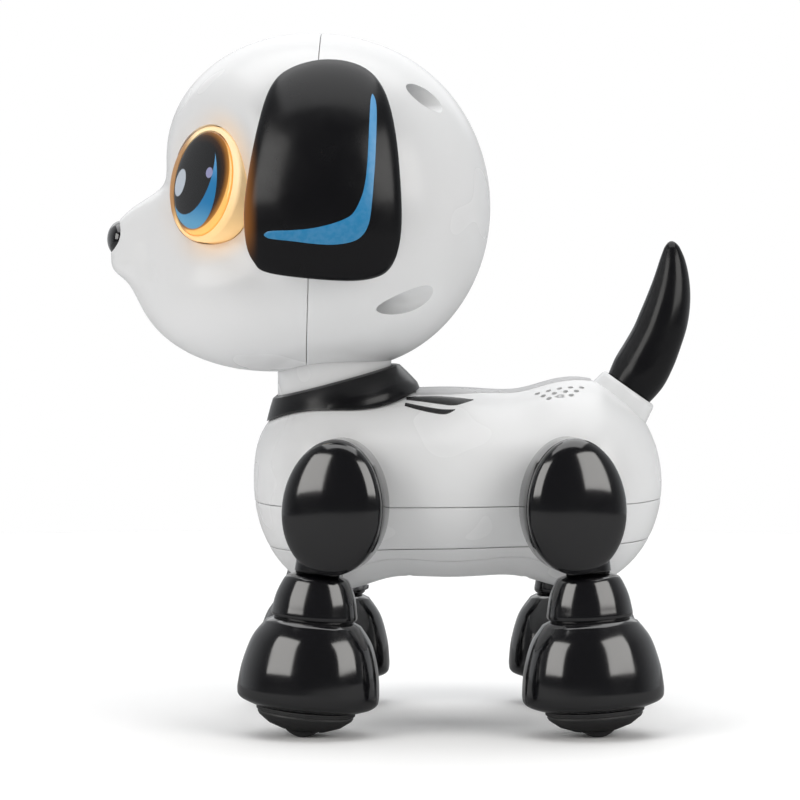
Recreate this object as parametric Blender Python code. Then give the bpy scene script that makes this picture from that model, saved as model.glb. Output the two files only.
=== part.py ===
"""Robot puppy toy: a walking toy dog with a turning head, four swinging legs and rollers in its feet.

The dog looks along -X, its left side faces -Y and +Z is up. The origin is under the middle of the dog, on the
surface that it stands on. Every size below is in millimetres, and MM turns it into Blender's metres.
"""

import math

import bmesh
import bpy
from mathutils import Matrix, Vector

MM = 0.001
GAP = 0.3
WALL = 2.0

# Soft rounded bodies are blends of ellipsoids, each one (centre, radii).
HEAD_CENTRE = (-16.0, 0.0, 113.5)
HEAD_LOBES = (
    ((-11.3, 0.0, 113.0), (31.1, 35.2, 35.1)),
    ((-20.8, 0.0, 124.8), (30.3, 33.8, 26.0)),
    ((-31.0, 0.0, 105.3), (32.4, 19.0, 14.5)),
    ((-29.1, 0.0, 95.4), (28.0, 27.0, 18.3)),
)
HEAD_SHARPNESS = 0.5
HEAD_FRONT_Z = 105.5
HEAD_SEAM_X = -18.8
HEAD_SEAM_TILT = 2.5

BODY_CENTRE = (12.5, 0.0, 51.5)
BODY_LOBES = (
    ((-14.5, 0.0, 50.5), (16.7, 23.8, 21.5)),
    ((38.7, 0.0, 52.4), (18.6, 24.4, 22.8)),
    ((11.0, 0.0, 52.4), (35.7, 26.0, 20.7)),
    ((-12.5, 0.0, 61.5), (13.6, 17.8, 7.6)),
)
BODY_SHARPNESS = 0.35
UPPER_SEAM = (48.8, 0.5)
LOWER_SEAM = (39.3, 1.3)

# Each eye sits in a shallow dish whose middle is on this direction from the head's centre.
EYE_TURN = 50.0
EYE_RISE = 8.0
EYE_FLOOR = 33.4
DISH_RADIUS = 80.0
LENS_RADII = (10.0, 11.2)
HALO_RADIUS = 12.5
EYE_LEAN = 12.0

NECK_X = -14.4
NECK_RADIUS = 12.5
NECK_BORE = 10.3
NECK_BOTTOM = 65.0
NECK_TOP = 85.0

COLLAR_TILT = 15.0
COLLAR_CENTRE = (-12.6, 0.0, 69.4)
COLLAR_BOTTOM_RADIUS = 17.4
COLLAR_TOP_RADIUS = 14.3
COLLAR_HEIGHT = 6.0

# The ear's outline, seen from the side and counted from the head's centre.
EAR_OUTLINE = (
    (0.8, 31.2), (-6.6, 29.6), (-11.2, 25.6), (-14.1, 16.5), (-16.6, 2.1), (-16.6, -6.7), (-14.9, -11.6),
    (-11.2, -14.1), (2.9, -15.6), (10.4, -15.1), (14.2, -12.6), (16.1, -6.7), (16.3, 2.1),
    (15.1, 15.5), (12.6, 24.7), (8.1, 29.6),
)
EAR_INNER = 39.6
EAR_PARTING = 40.9
EAR_RIM = 42.3
EAR_CROWN = 44.4
EAR_PEG_RISE = 28.0
EAR_PEG_X = -13.2
EAR_PEG_RADIUS = 2.4

HIP_FRONT_X = -12.5
HIP_REAR_X = 35.6
HIP_SIDE = 25.8
HIP_YAW = 13.0
# Swing of each leg at rest, in degrees, towards the dog's own end.
SWING_FRONT = {"left": 5.0, "right": 2.0}
SWING_REAR = {"left": 3.0, "right": 1.0}
# How far each foot stands from below its thigh, towards the nearer end of the dog.
FOOT_SHIFT = 3.3
HIP_HEIGHT = 50.0
HIP_SHAFT_RADIUS = 3.0
HIP_SHAFT_LENGTH = 7.0

THIGH_HALF_WIDTH = 10.9
THIGH_HALF_HEIGHT = 14.6
THIGH_PARTING = 8.0
THIGH_DEPTH = 13.5
FOOT_CENTRE_Y = 3.2
# Half width of the foot against its height above the floor, from the ankle's top to the foot's lower edge.
FOOT_PROFILE = (
    (35.0, 4.0), (33.8, 6.9), (30.5, 8.4), (25.9, 9.2), (25.2, 8.5), (24.4, 10.2),
    (20.5, 12.9), (15.0, 14.6), (10.5, 15.2), (7.8, 14.9), (6.2, 11.8),
)
FOOT_DEPTH_SHARE = 0.76
SOLE_PROFILE = ((5.9, 10.8), (4.0, 10.1), (2.4, 7.9), (1.3, 4.8), (0.9, 2.4))
SOLE_DEPTH_SHARE = 0.8
ROLLER_RADIUS = 5.0
ROLLER_HALF_WIDTH = 3.2
ROLLER_AXLE_RADIUS = 1.1
ROLLER_AXLE_HALF = 5.4

TAIL_BASE = (49.8, 0.0, 72.3)
TAIL_LEAN = 35.0
TAIL_CURVE = ((49.8, 72.3), (57.4, 83.1), (61.0, 94.0), (59.6, 105.6))
# The tail's radius against the share of the curve's parameter.
TAIL_STATIONS = (
    (0.0, 5.3), (0.13, 6.15), (0.26, 6.0), (0.38, 5.65), (0.5, 5.4), (0.63, 4.8), (0.76, 3.9), (0.88, 2.8),
    (0.96, 1.7),
)
TAIL_STUB_RADIUS = 3.0
TAIL_STUB_LENGTH = 6.0

CELL_RADIUS = 5.25
CELL_HALF_LENGTH = 22.25
CELL_PITCH = 10.7
CELL_MIDDLE_X = 12.0
CELL_Z = 45.9

SWITCH_X = -16.2
SWITCH_INSIDE = 2.9

BAND_START_X = 7.5
BAND_END_X = 42.0
BAND_HALF_WIDTH = 4.2
BAND_THICKNESS = 0.7
BAND_SAG = 0.5

BOARD_LOW = (19.0, -14.0, 57.0)
BOARD_HIGH = (44.0, 14.0, 58.4)
SPEAKER_X = 33.5
SPEAKER_PROFILE = ((5.0, 62.5), (9.0, 63.5), (9.0, 66.5), (7.5, 67.0))

NOSE_CENTRE = (-61.2, 0.0, 106.0)
NOSE_RADII = (3.15, 5.5, 4.1)

# Height and sideways place of the head screws, and the depth of their counterbores behind the seam.
HEAD_SCREWS = (("upper", 18.4, 136.6), ("lower", 24.6, 93.4))
HEAD_SCREW_DEPTH = 5.5
COUNTERBORE_RADIUS = 3.1

DOOR_HALF_Y = 16.6
DOOR_MARGIN_X = 2.2
TRAY_WALL = 0.7

MODULE = 0.5
PINION_TEETH = 10
GEAR_TEETH = 28
GEAR_PLANE_Y = 9.0
GEAR_WIDTH = 3.0
MOTOR_X = -3.0
MOTOR_Z = 58.6
GEAR_Z = 60.0

SIDES = {"left": -1.0, "right": 1.0}


def clear_scene():
    for thing in list(bpy.data.objects):
        bpy.data.objects.remove(thing, do_unlink=True)


def plastic(name, colour, roughness, metallic=0.0):
    material = bpy.data.materials.new(name)
    material.use_nodes = True
    shader = material.node_tree.nodes["Principled BSDF"]
    shader.inputs["Base Color"].default_value = (*colour, 1.0)
    shader.inputs["Roughness"].default_value = roughness
    shader.inputs["Metallic"].default_value = metallic
    return material


def make_materials():
    return {
        "white": plastic("white_shell", (0.86, 0.86, 0.87), 0.22),
        "black": plastic("black_gloss", (0.012, 0.012, 0.014), 0.1),
        "satin": plastic("black_satin", (0.015, 0.015, 0.017), 0.35),
        "sole": plastic("dark_sole", (0.02, 0.02, 0.021), 0.5),
        "lens": plastic("eye_print", (0.02, 0.04, 0.07), 0.06),
        "halo": plastic("halo_amber", (1.0, 0.55, 0.15), 0.4),
        "band": plastic("grey_band", (0.55, 0.55, 0.57), 0.35),
        "board": plastic("board_green", (0.03, 0.2, 0.08), 0.5),
        "steel": plastic("plated_steel", (0.6, 0.6, 0.62), 0.3, 1.0),
        "gear": plastic("natural_nylon", (0.8, 0.78, 0.7), 0.45),
        "cell": plastic("cell_wrap", (0.1, 0.16, 0.3), 0.35),
    }


def add_pivot(name, matrix):
    pivot = bpy.data.objects.new(name, None)
    pivot.empty_display_size = 5 * MM
    bpy.context.scene.collection.objects.link(pivot)
    pivot.matrix_world = matrix
    return pivot


def add_mesh(name, points, faces):
    mesh = bpy.data.meshes.new(name)
    mesh.from_pydata([Vector(p) * MM for p in points], [], faces)
    work = bmesh.new()
    work.from_mesh(mesh)
    bmesh.ops.recalc_face_normals(work, faces=work.faces)
    work.to_mesh(mesh)
    work.free()
    thing = bpy.data.objects.new(name, mesh)
    bpy.context.scene.collection.objects.link(thing)
    return thing


def combine(target, tool, operation="DIFFERENCE"):
    """Apply one exact Boolean to the target, and remove the tool."""
    modifier = target.modifiers.new(operation.lower(), "BOOLEAN")
    modifier.operation = operation
    modifier.solver = "EXACT"
    modifier.object = tool
    bpy.context.view_layer.update()
    shaped = target.evaluated_get(bpy.context.evaluated_depsgraph_get())
    mesh = bpy.data.meshes.new_from_object(shaped)
    target.modifiers.clear()
    target.data = mesh
    bpy.data.objects.remove(tool, do_unlink=True)
    return target


def duplicate(thing, name):
    other = bpy.data.objects.new(name, thing.data.copy())
    bpy.context.scene.collection.objects.link(other)
    return other


def finish_piece(thing, material, pivot=None, smooth_angle=40.0):
    """Shade the piece, give it its material, and hang it on its pivot where it stands."""
    thing.data.materials.clear()
    thing.data.materials.append(material)
    thing.data.shade_smooth()
    thing.data.set_sharp_from_angle(angle=math.radians(smooth_angle))
    if pivot is not None:
        bpy.context.view_layer.update()
        thing.data.transform(pivot.matrix_world.inverted())
        thing.parent = pivot
    return thing


def loft(name, rings, first_pole=None, last_pole=None):
    """Closed solid through rings of equal length, with a flat cap or a pole at each end."""
    count = len(rings[0])
    points = [p for ring in rings for p in ring]
    faces = []
    for i in range(len(rings) - 1):
        for j in range(count):
            k = (j + 1) % count
            faces.append((i * count + j, i * count + k, (i + 1) * count + k, (i + 1) * count + j))
    for start, pole in ((0, first_pole), ((len(rings) - 1) * count, last_pole)):
        ring = [start + j for j in range(count)]
        if pole is None:
            faces.append(tuple(ring))
        else:
            points.append(pole)
            tip = len(points) - 1
            faces.extend((ring[j], ring[(j + 1) % count], tip) for j in range(count))
    return add_mesh(name, points, faces)


def turned(name, profile, steps=24):
    """Solid turned about Z from a profile of (radius, height); an end on the axis becomes a pole."""
    first_pole = (0.0, 0.0, profile[0][1]) if profile[0][0] == 0 else None
    last_pole = (0.0, 0.0, profile[-1][1]) if profile[-1][0] == 0 else None
    rings = []
    for radius, height in profile:
        if radius > 0:
            rings.append([
                (radius * math.cos(2 * math.pi * j / steps), radius * math.sin(2 * math.pi * j / steps), height)
                for j in range(steps)
            ])
    return loft(name, rings, first_pole, last_pole)


def turned_ring(name, profile, steps=24):
    """Ring turned about Z from a closed profile of (radius, height) that stays off the axis."""
    rows = len(profile)
    points = []
    faces = []
    for j in range(steps):
        angle = 2 * math.pi * j / steps
        points.extend((r * math.cos(angle), r * math.sin(angle), z) for r, z in profile)
    for j in range(steps):
        k = (j + 1) % steps
        for i in range(rows):
            m = (i + 1) % rows
            faces.append((j * rows + i, k * rows + i, k * rows + m, j * rows + m))
    return add_mesh(name, points, faces)


def block(name, low, high):
    points = [(x, y, z) for x in (low[0], high[0]) for y in (low[1], high[1]) for z in (low[2], high[2])]
    faces = [(0, 1, 3, 2), (4, 6, 7, 5), (0, 4, 5, 1), (2, 3, 7, 6), (0, 2, 6, 4), (1, 5, 7, 3)]
    return add_mesh(name, points, faces)


def move(thing, matrix):
    """Carry a piece to its place; the matrix is in millimetres."""
    scaled = matrix.copy()
    scaled.translation = matrix.translation * MM
    thing.data.transform(scaled)
    return thing


def aim(origin, direction, up=(0.0, 0.0, 1.0)):
    """Placement whose Z runs along the direction and whose Y is as near to up as it can be."""
    z_axis = Vector(direction).normalized()
    x_axis = Vector(up).cross(z_axis).normalized()
    y_axis = z_axis.cross(x_axis)
    matrix = Matrix((x_axis, y_axis, z_axis)).transposed().to_4x4()
    matrix.translation = Vector(origin)
    return matrix


def rod(name, start, direction, radius, length, steps=20):
    rod_piece = turned(name, ((radius, 0.0), (radius, length)), steps)
    side = (0.0, 1.0, 0.0) if abs(Vector(direction).normalized().z) > 0.9 else (0.0, 0.0, 1.0)
    return move(rod_piece, aim(start, direction, side))


class Blob:
    """Smooth union of ellipsoids, with round dishes pressed into it."""

    def __init__(self, centre, lobes, sharpness, dishes=()):
        self.centre = Vector(centre)
        self.lobes = [(Vector(c), r) for c, r in lobes]
        self.sharpness = sharpness
        self.dishes = dishes

    def distance(self, point):
        total = 0.0
        for centre, radii in self.lobes:
            away = point - centre
            scaled = math.sqrt((away.x / radii[0]) ** 2 + (away.y / radii[1]) ** 2 + (away.z / radii[2]) ** 2)
            total += math.exp(-self.sharpness * (scaled - 1.0) * min(radii))
        outside = -math.log(total) / self.sharpness
        for dish_centre, dish_radius in self.dishes:
            pressed = dish_radius - (point - dish_centre).length
            outside = math.log(math.exp(outside) + math.exp(pressed))
        return outside

    def reach(self, origin, direction, inset):
        """How far the surface, moved inwards by the inset, lies from the origin along a direction."""
        low, high = 0.0, 90.0
        for _ in range(26):
            middle = 0.5 * (low + high)
            if self.distance(origin + direction * middle) < -inset:
                low = middle
            else:
                high = middle
        return 0.5 * (low + high)

    def solid(self, name, front_z, rear_z, stations, sides, inset=0.0):
        """Closed mesh of the surface, ringed about a line from the front pole to the rear one."""
        front = Vector((self.centre.x, 0.0, front_z))
        rear = Vector((self.centre.x, 0.0, rear_z))
        front.x -= self.reach(front, Vector((-1.0, 0.0, 0.0)), inset)
        rear.x += self.reach(rear, Vector((1.0, 0.0, 0.0)), inset)
        rings = []
        for i in range(1, stations):
            share = 0.5 - 0.5 * math.cos(math.pi * i / stations)
            middle = front.lerp(rear, share)
            ring = []
            for j in range(sides):
                angle = 2 * math.pi * j / sides
                direction = Vector((0.0, math.sin(angle), math.cos(angle)))
                ring.append(middle + direction * self.reach(middle, direction, inset))
            rings.append(ring)
        return loft(name, rings, front, rear)


def eye_direction(side):
    turn = math.radians(EYE_TURN)
    rise = math.radians(EYE_RISE)
    return Vector((-math.sin(turn) * math.cos(rise), side * math.cos(turn) * math.cos(rise), math.sin(rise)))


def eye_placement(side):
    direction = eye_direction(side)
    lean = math.radians(EYE_LEAN)
    up = Vector((math.sin(lean), 0.0, math.cos(lean)))
    return aim(Vector(HEAD_CENTRE) + direction * EYE_FLOOR, direction, up)


def head_blob():
    dishes = [
        (Vector(HEAD_CENTRE) + eye_direction(side) * (EYE_FLOOR + DISH_RADIUS), DISH_RADIUS)
        for side in SIDES.values()
    ]
    return Blob(HEAD_CENTRE, HEAD_LOBES, HEAD_SHARPNESS, dishes)


def body_blob():
    return Blob(BODY_CENTRE, BODY_LOBES, BODY_SHARPNESS)


def seam_slab(name, lower, upper, span=150.0):
    """Large block between two nearly level planes, each one (height at x = 0, tilt in degrees)."""
    corners = [
        (x, y, z + x * math.tan(math.radians(tilt)))
        for z, tilt in (lower, upper) for x in (-span, span) for y in (-span, span)
    ]
    faces = [(0, 1, 3, 2), (4, 6, 7, 5), (0, 4, 5, 1), (2, 3, 7, 6), (0, 2, 6, 4), (1, 5, 7, 3)]
    return add_mesh(name, corners, faces)


def shifted(seam, rise):
    return seam[0] + rise, seam[1]


def seam_half(name, front, span=150.0):
    """Large block on one side of the head's seam, half a gap away from it."""
    low, high = (-span, -GAP / 2) if front else (GAP / 2, span)
    half = block(name, (low, -span, -span), (high, span, span))
    lean = Matrix.Rotation(math.radians(HEAD_SEAM_TILT), 4, "Y")
    return move(half, Matrix.Translation((HEAD_SEAM_X, 0.0, HEAD_CENTRE[2])) @ lean)


def ear_axis(side):
    rise = math.radians(EAR_PEG_RISE)
    return Vector((0.0, side * math.cos(rise), math.sin(rise)))


def ear_pivot_point():
    return Vector((EAR_PEG_X, 0.0, HEAD_CENTRE[2]))


def screw_places():
    """Where the four head screws enter, as (side, y, z); each runs forwards from the back of the head."""
    return [
        (f"{row}_{name}", Vector((0.0, side * y, z)))
        for name, side in SIDES.items()
        for row, y, z in HEAD_SCREWS
    ]


def build_head(materials, pivot):
    blob = head_blob()
    shell = blob.solid("head_shell", HEAD_FRONT_Z, HEAD_CENTRE[2], 14, 28)
    combine(shell, blob.solid("hollow", HEAD_FRONT_Z, HEAD_CENTRE[2], 9, 18, WALL))
    for _, place in screw_places():
        boss = rod("boss", (HEAD_SEAM_X + 3.0, place.y, place.z), (1.0, 0.0, 0.0), 4.5, 40.0, 14)
        combine(boss, blob.solid("clip", HEAD_FRONT_Z, HEAD_CENTRE[2], 14, 28, WALL / 2), "INTERSECT")
        combine(shell, boss, "UNION")
    neck_clearance = NECK_RADIUS + 0.4
    combine(shell, rod("neck_hole", (NECK_X, 0.0, 60.0), (0.0, 0.0, 1.0), neck_clearance, 28.0, 28))
    for side in SIDES.values():
        opening = turned("eye_hole", ((HALO_RADIUS + GAP, -12.0), (HALO_RADIUS + GAP, 12.0)), 24)
        combine(shell, move(opening, eye_placement(side)))
        start = ear_pivot_point() + ear_axis(side) * 20.0
        combine(shell, rod("peg_hole", start, ear_axis(side), EAR_PEG_RADIUS + 0.4, 30.0, 12))
    nose_pocket = nose_solid("nose_pocket", GAP)
    combine(shell, nose_pocket)
    front = duplicate(shell, "head_front_shell")
    combine(front, seam_half("front_half", True), "INTERSECT")
    rear = combine(shell, seam_half("rear_half", False), "INTERSECT")
    rear.name = "head_rear_shell"
    for name, place in screw_places():
        floor_x = HEAD_SEAM_X + HEAD_SCREW_DEPTH
        combine(rear, rod("counterbore", (floor_x, place.y, place.z), (1.0, 0.0, 0.0), COUNTERBORE_RADIUS, 50.0, 12))
        combine(rear, rod("screw_hole", (floor_x - 9.0, place.y, place.z), (1.0, 0.0, 0.0), 1.5, 20.0, 10))
        screw = turned("head_screw_" + name, ((1.1, -6.5), (1.1, 0.0), (2.5, 0.01), (2.5, 1.2), (1.6, 1.9)), 10)
        move(screw, aim((floor_x + GAP, place.y, place.z), (1.0, 0.0, 0.0)))
        finish_piece(screw, materials["steel"], pivot)
    finish_piece(front, materials["white"], pivot)
    finish_piece(rear, materials["white"], pivot)
    finish_piece(nose_solid("nose", 0.0), materials["black"], pivot)
    for name, side in SIDES.items():
        build_eye(name, side, materials, pivot)


def nose_solid(name, grow):
    """Egg-shaped nose cap on the muzzle's tip."""
    centre = Vector(NOSE_CENTRE)
    radii = [radius + grow for radius in NOSE_RADII]
    rings = []
    for i in range(1, 6):
        angle = math.pi * i / 6
        rings.append([
            centre + Vector((
                -radii[0] * math.cos(angle),
                radii[1] * math.sin(angle) * math.cos(math.pi * j / 8),
                radii[2] * math.sin(angle) * math.sin(math.pi * j / 8),
            ))
            for j in range(16)
        ])
    tip = Vector((radii[0], 0.0, 0.0))
    return loft(name, rings, centre - tip, centre + tip)


def build_eye(name, side, materials, pivot):
    placement = eye_placement(side)
    halo = turned("eye_halo_" + name, ((HALO_RADIUS - 0.6, -4.5), (HALO_RADIUS, -4.0), (HALO_RADIUS, 0.4),
                                       (HALO_RADIUS - 0.9, 1.1)), 28)
    combine(halo, elliptic_disc("pocket", LENS_RADII, GAP, ((1.0, -2.0), (1.0, 4.0))))
    finish_piece(move(halo, placement), materials["halo"], pivot)
    lens = elliptic_disc("eye_lens_" + name, LENS_RADII, 0.0, ((1.0, -1.6), (1.0, 1.3), (0.8, 2.0), (0.45, 2.6)))
    finish_piece(move(lens, placement), materials["lens"], pivot)
    board = turned("eye_light_board_" + name, ((8.0, -7.0), (8.0, -5.8)), 16)
    finish_piece(move(board, placement), materials["board"], pivot)


def elliptic_disc(name, radii, grow, levels, steps=28):
    """Stack of ellipses, each level a (share of the radii, height)."""
    rings = [
        [
            ((radii[0] * share + grow) * math.cos(2 * math.pi * j / steps),
             (radii[1] * share + grow) * math.sin(2 * math.pi * j / steps), height)
            for j in range(steps)
        ]
        for share, height in levels
    ]
    return loft(name, rings)


def smooth_outline(points, pieces):
    """Closed Catmull-Rom curve through the points, with a number of pieces between two of them."""
    count = len(points)
    curve = []
    for i in range(count):
        a, b, c, d = (Vector(points[(i + k - 1) % count]) for k in range(4))
        for step in range(pieces):
            t = step / pieces
            curve.append(0.5 * (2 * b + (c - a) * t + (2 * a - 5 * b + 4 * c - d) * t * t
                                + (3 * b - a - 3 * c + d) * t * t * t))
    return curve


def ear_solid(name, side, outline, levels):
    """Curved flap that follows a sphere about the head's centre; each level is (share, radius)."""
    middle = sum(outline, Vector((0.0, 0.0))) / len(outline)
    head = Vector(HEAD_CENTRE)

    def ear_point(flat, radius):
        depth = math.sqrt(radius * radius - flat.x * flat.x - flat.y * flat.y)
        return head + Vector((flat.x, side * depth, flat.y))

    rings = [[ear_point(middle.lerp(p, share), radius) for p in outline] for share, radius in levels]
    return loft(name, rings, ear_point(middle, levels[0][1]), ear_point(middle, levels[-1][1]))


def build_ear(name, side, materials, head_pivot):
    pivot = add_pivot(f"ear_{name}_pivot", Matrix.Translation(ear_pivot_point() * MM))
    hang(pivot, head_pivot)
    outline = smooth_outline(EAR_OUTLINE, 2)
    outer_levels = ((0.5, EAR_PARTING + 2 * GAP), (1.0, EAR_PARTING + 2 * GAP), (1.0, EAR_RIM),
                    (0.93, EAR_RIM + 1.1), (0.7, EAR_CROWN - 0.3), (0.35, EAR_CROWN))
    outer = ear_solid(f"ear_{name}_outer", side, outline, outer_levels)
    inner_levels = ((0.5, EAR_INNER), (0.9, EAR_INNER), (0.97, EAR_INNER + 0.5), (0.97, EAR_PARTING),
                    (0.5, EAR_PARTING))
    inner = ear_solid(f"ear_{name}_inner", side, outline, inner_levels)
    peg = rod("peg", ear_pivot_point() + ear_axis(side) * 31.0, ear_axis(side), EAR_PEG_RADIUS, 9.2, 12)
    combine(inner, peg, "UNION")
    finish_piece(outer, materials["satin"], pivot)
    finish_piece(inner, materials["satin"], pivot)


def hang(child, parent):
    """Parent an empty without moving it."""
    bpy.context.view_layer.update()
    child.parent = parent
    child.matrix_parent_inverse = parent.matrix_world.inverted()


def hip_placement(end, side_name):
    side = SIDES[side_name]
    towards_end = -1.0 if end == "front" else 1.0
    yaw = math.radians(HIP_YAW)
    outward = Vector((towards_end * math.sin(yaw), side * math.cos(yaw), 0.0))
    along = Vector((0.0, 0.0, 1.0)).cross(outward)
    if along.x * towards_end < 0:
        along = -along
    swing = math.radians((SWING_FRONT if end == "front" else SWING_REAR)[side_name])
    up = Vector((0.0, 0.0, math.cos(swing))) - along * math.sin(swing)
    hip_x = HIP_FRONT_X if end == "front" else HIP_REAR_X
    height = (HIP_HEIGHT - ROLLER_RADIUS) * math.cos(swing) - FOOT_SHIFT * math.sin(swing) + ROLLER_RADIUS
    matrix = Matrix((outward.cross(up), outward, up)).transposed().to_4x4()
    matrix.translation = Vector((hip_x, side * HIP_SIDE, height))
    return matrix


def foot_shift(end, side_name):
    """Shift of the foot along the leg's own first axis, which points backwards on half of the legs."""
    forwards = (end == "front") == (side_name == "left")
    return FOOT_SHIFT if forwards else -FOOT_SHIFT


def thigh_outline(share, depth, steps=16):
    ring = []
    for j in range(steps):
        angle = 2 * math.pi * j / steps
        height = THIGH_HALF_HEIGHT * share * math.cos(angle)
        belly = 1.0 - 0.05 * math.cos(angle)
        ring.append((THIGH_HALF_WIDTH * share * belly * math.sin(angle), depth, height))
    return ring


def foot_half(name, outer, shift):
    """Half of the ankle and foot, closed by the flat plane where the two halves meet."""
    sign = 1.0 if outer else -1.0
    squareness = 1.0 if outer else 0.7
    rings = []
    for height, half_width in FOOT_PROFILE:
        ring = []
        for j in range(8):
            angle = math.pi * j / 7
            reach = math.sin(angle) ** squareness * half_width * FOOT_DEPTH_SHARE
            depth = FOOT_CENTRE_Y + sign * (reach + GAP / 2)
            ring.append((shift + half_width * math.cos(angle), depth, height - HIP_HEIGHT))
        rings.append(ring)
    return loft(name, rings)


def roller_tool(name, grow, shift):
    """Roller on its axle, turned about the leg's own sideways axis."""
    radius = ROLLER_RADIUS + grow
    half = ROLLER_HALF_WIDTH + grow
    axle = ROLLER_AXLE_RADIUS + grow
    reach = ROLLER_AXLE_HALF + grow
    profile = ((axle, -reach), (axle, -half), (radius, -half), (radius, half), (axle, half), (axle, reach))
    tool = turned(name, profile, 16)
    place = (shift, FOOT_CENTRE_Y, ROLLER_RADIUS - HIP_HEIGHT)
    return move(tool, aim(place, (0.0, 1.0, 0.0)))


def leg_meshes(shift):
    """The five leg pieces, in the hip's own frame, shared by two of the four legs."""
    cover = loft("thigh_cover", [
        thigh_outline(1.0, THIGH_PARTING + GAP), thigh_outline(1.0, THIGH_PARTING + 1.6),
        thigh_outline(0.88, THIGH_PARTING + 3.8), thigh_outline(0.6, THIGH_DEPTH - 0.5),
    ], None, (0.0, THIGH_DEPTH, 0.0))
    inner = loft("leg_inner", [
        thigh_outline(0.9, 0.0), thigh_outline(1.0, 1.6), thigh_outline(1.0, THIGH_PARTING),
    ])
    ankle = turned("ankle_post", ((5.2, -18.0), (4.6, -11.0)), 16)
    move(ankle, Matrix.Translation((shift, 0.45 * THIGH_PARTING, 0.0)) @ Matrix.Diagonal((1.0, 0.72, 1.0, 1.0)))
    cover_side = FOOT_CENTRE_Y - GAP / 2 - 0.05
    combine(ankle, block("cover_room", (shift - 9.0, cover_side, -30.0), (shift + 9.0, 12.0, -14.5)))
    foot_inner = foot_half("foot_inner", False, shift)
    foot_cover = foot_half("foot_cover", True, shift)
    combine(inner, ankle, "UNION")
    combine(inner, foot_inner, "UNION")
    shaft = rod("shaft", (0.0, -HIP_SHAFT_LENGTH, 0.0), (0.0, 1.0, 0.0), HIP_SHAFT_RADIUS, 9.0, 12)
    combine(inner, shaft, "UNION")
    sole = loft("sole", [
        [(shift + half * math.cos(2 * math.pi * j / 20),
          FOOT_CENTRE_Y + SOLE_DEPTH_SHARE * half * math.sin(2 * math.pi * j / 20), height - HIP_HEIGHT)
         for j in range(20)]
        for height, half in SOLE_PROFILE
    ])
    for piece in (inner, foot_cover, sole):
        combine(piece, roller_tool("roller_room", GAP, shift))
    roller = roller_tool("roller", 0.0, shift)
    return {"thigh_cover": cover, "leg_inner": inner, "foot_cover": foot_cover, "sole": sole, "roller": roller}


def build_legs(materials):
    slots = {"thigh_cover": "black", "leg_inner": "black", "foot_cover": "black", "sole": "sole", "roller": "sole"}
    for end in ("front", "rear"):
        for side_name in SIDES:
            placement = hip_placement(end, side_name)
            placement.translation = placement.translation * MM
            hip = add_pivot(f"hip_{end}_{side_name}", placement)
            for piece_name, piece in leg_meshes(foot_shift(end, side_name)).items():
                finish_piece(piece, materials[slots[piece_name]])
                piece.name = f"{piece_name}_{end}_{side_name}"
                piece.data.name = piece.name
                piece.parent = hip


def tail_placement():
    lean = math.radians(TAIL_LEAN)
    return aim(TAIL_BASE, (math.sin(lean), 0.0, math.cos(lean)), (0.0, 1.0, 0.0))


def bezier(points, t):
    a, b, c, d = (Vector((p[0], 0.0, p[1])) for p in points)
    u = 1.0 - t
    place = u * u * u * a + 3 * u * u * t * b + 3 * u * t * t * c + t * t * t * d
    heading = 3 * u * u * (b - a) + 6 * u * t * (c - b) + 3 * t * t * (d - c)
    return place, heading.normalized()


def build_tail(materials):
    pivot = add_pivot("tail_pivot", Matrix.Translation(Vector(TAIL_BASE) * MM))
    rings = []
    for share, radius in TAIL_STATIONS:
        place, heading = bezier(TAIL_CURVE, share)
        across = Vector((0.0, 1.0, 0.0))
        upward = heading.cross(across)
        rings.append([
            place + across * radius * math.cos(math.pi * j / 8) + upward * radius * math.sin(math.pi * j / 8)
            for j in range(16)
        ])
    tail = loft("tail", rings, None, bezier(TAIL_CURVE, 1.0)[0])
    stub = turned("stub", ((TAIL_STUB_RADIUS, -TAIL_STUB_LENGTH), (TAIL_STUB_RADIUS, 1.0)), 16)
    combine(tail, move(stub, tail_placement()), "UNION")
    finish_piece(tail, materials["black"], pivot)


def hip_bore(end, side_name):
    placement = hip_placement(end, side_name)
    bore = turned("hip_bore", ((HIP_SHAFT_RADIUS + 0.4, -12.0), (HIP_SHAFT_RADIUS + 0.4, 6.0)), 12)
    return move(bore, placement @ aim((0.0, 0.0, 0.0), (0.0, 1.0, 0.0)))


def door_block(name, grow, low_z, high_z):
    half_x = CELL_HALF_LENGTH + DOOR_MARGIN_X + grow
    half_y = DOOR_HALF_Y + grow
    return block(name, (CELL_MIDDLE_X - half_x, -half_y, low_z), (CELL_MIDDLE_X + half_x, half_y, high_z))


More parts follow.
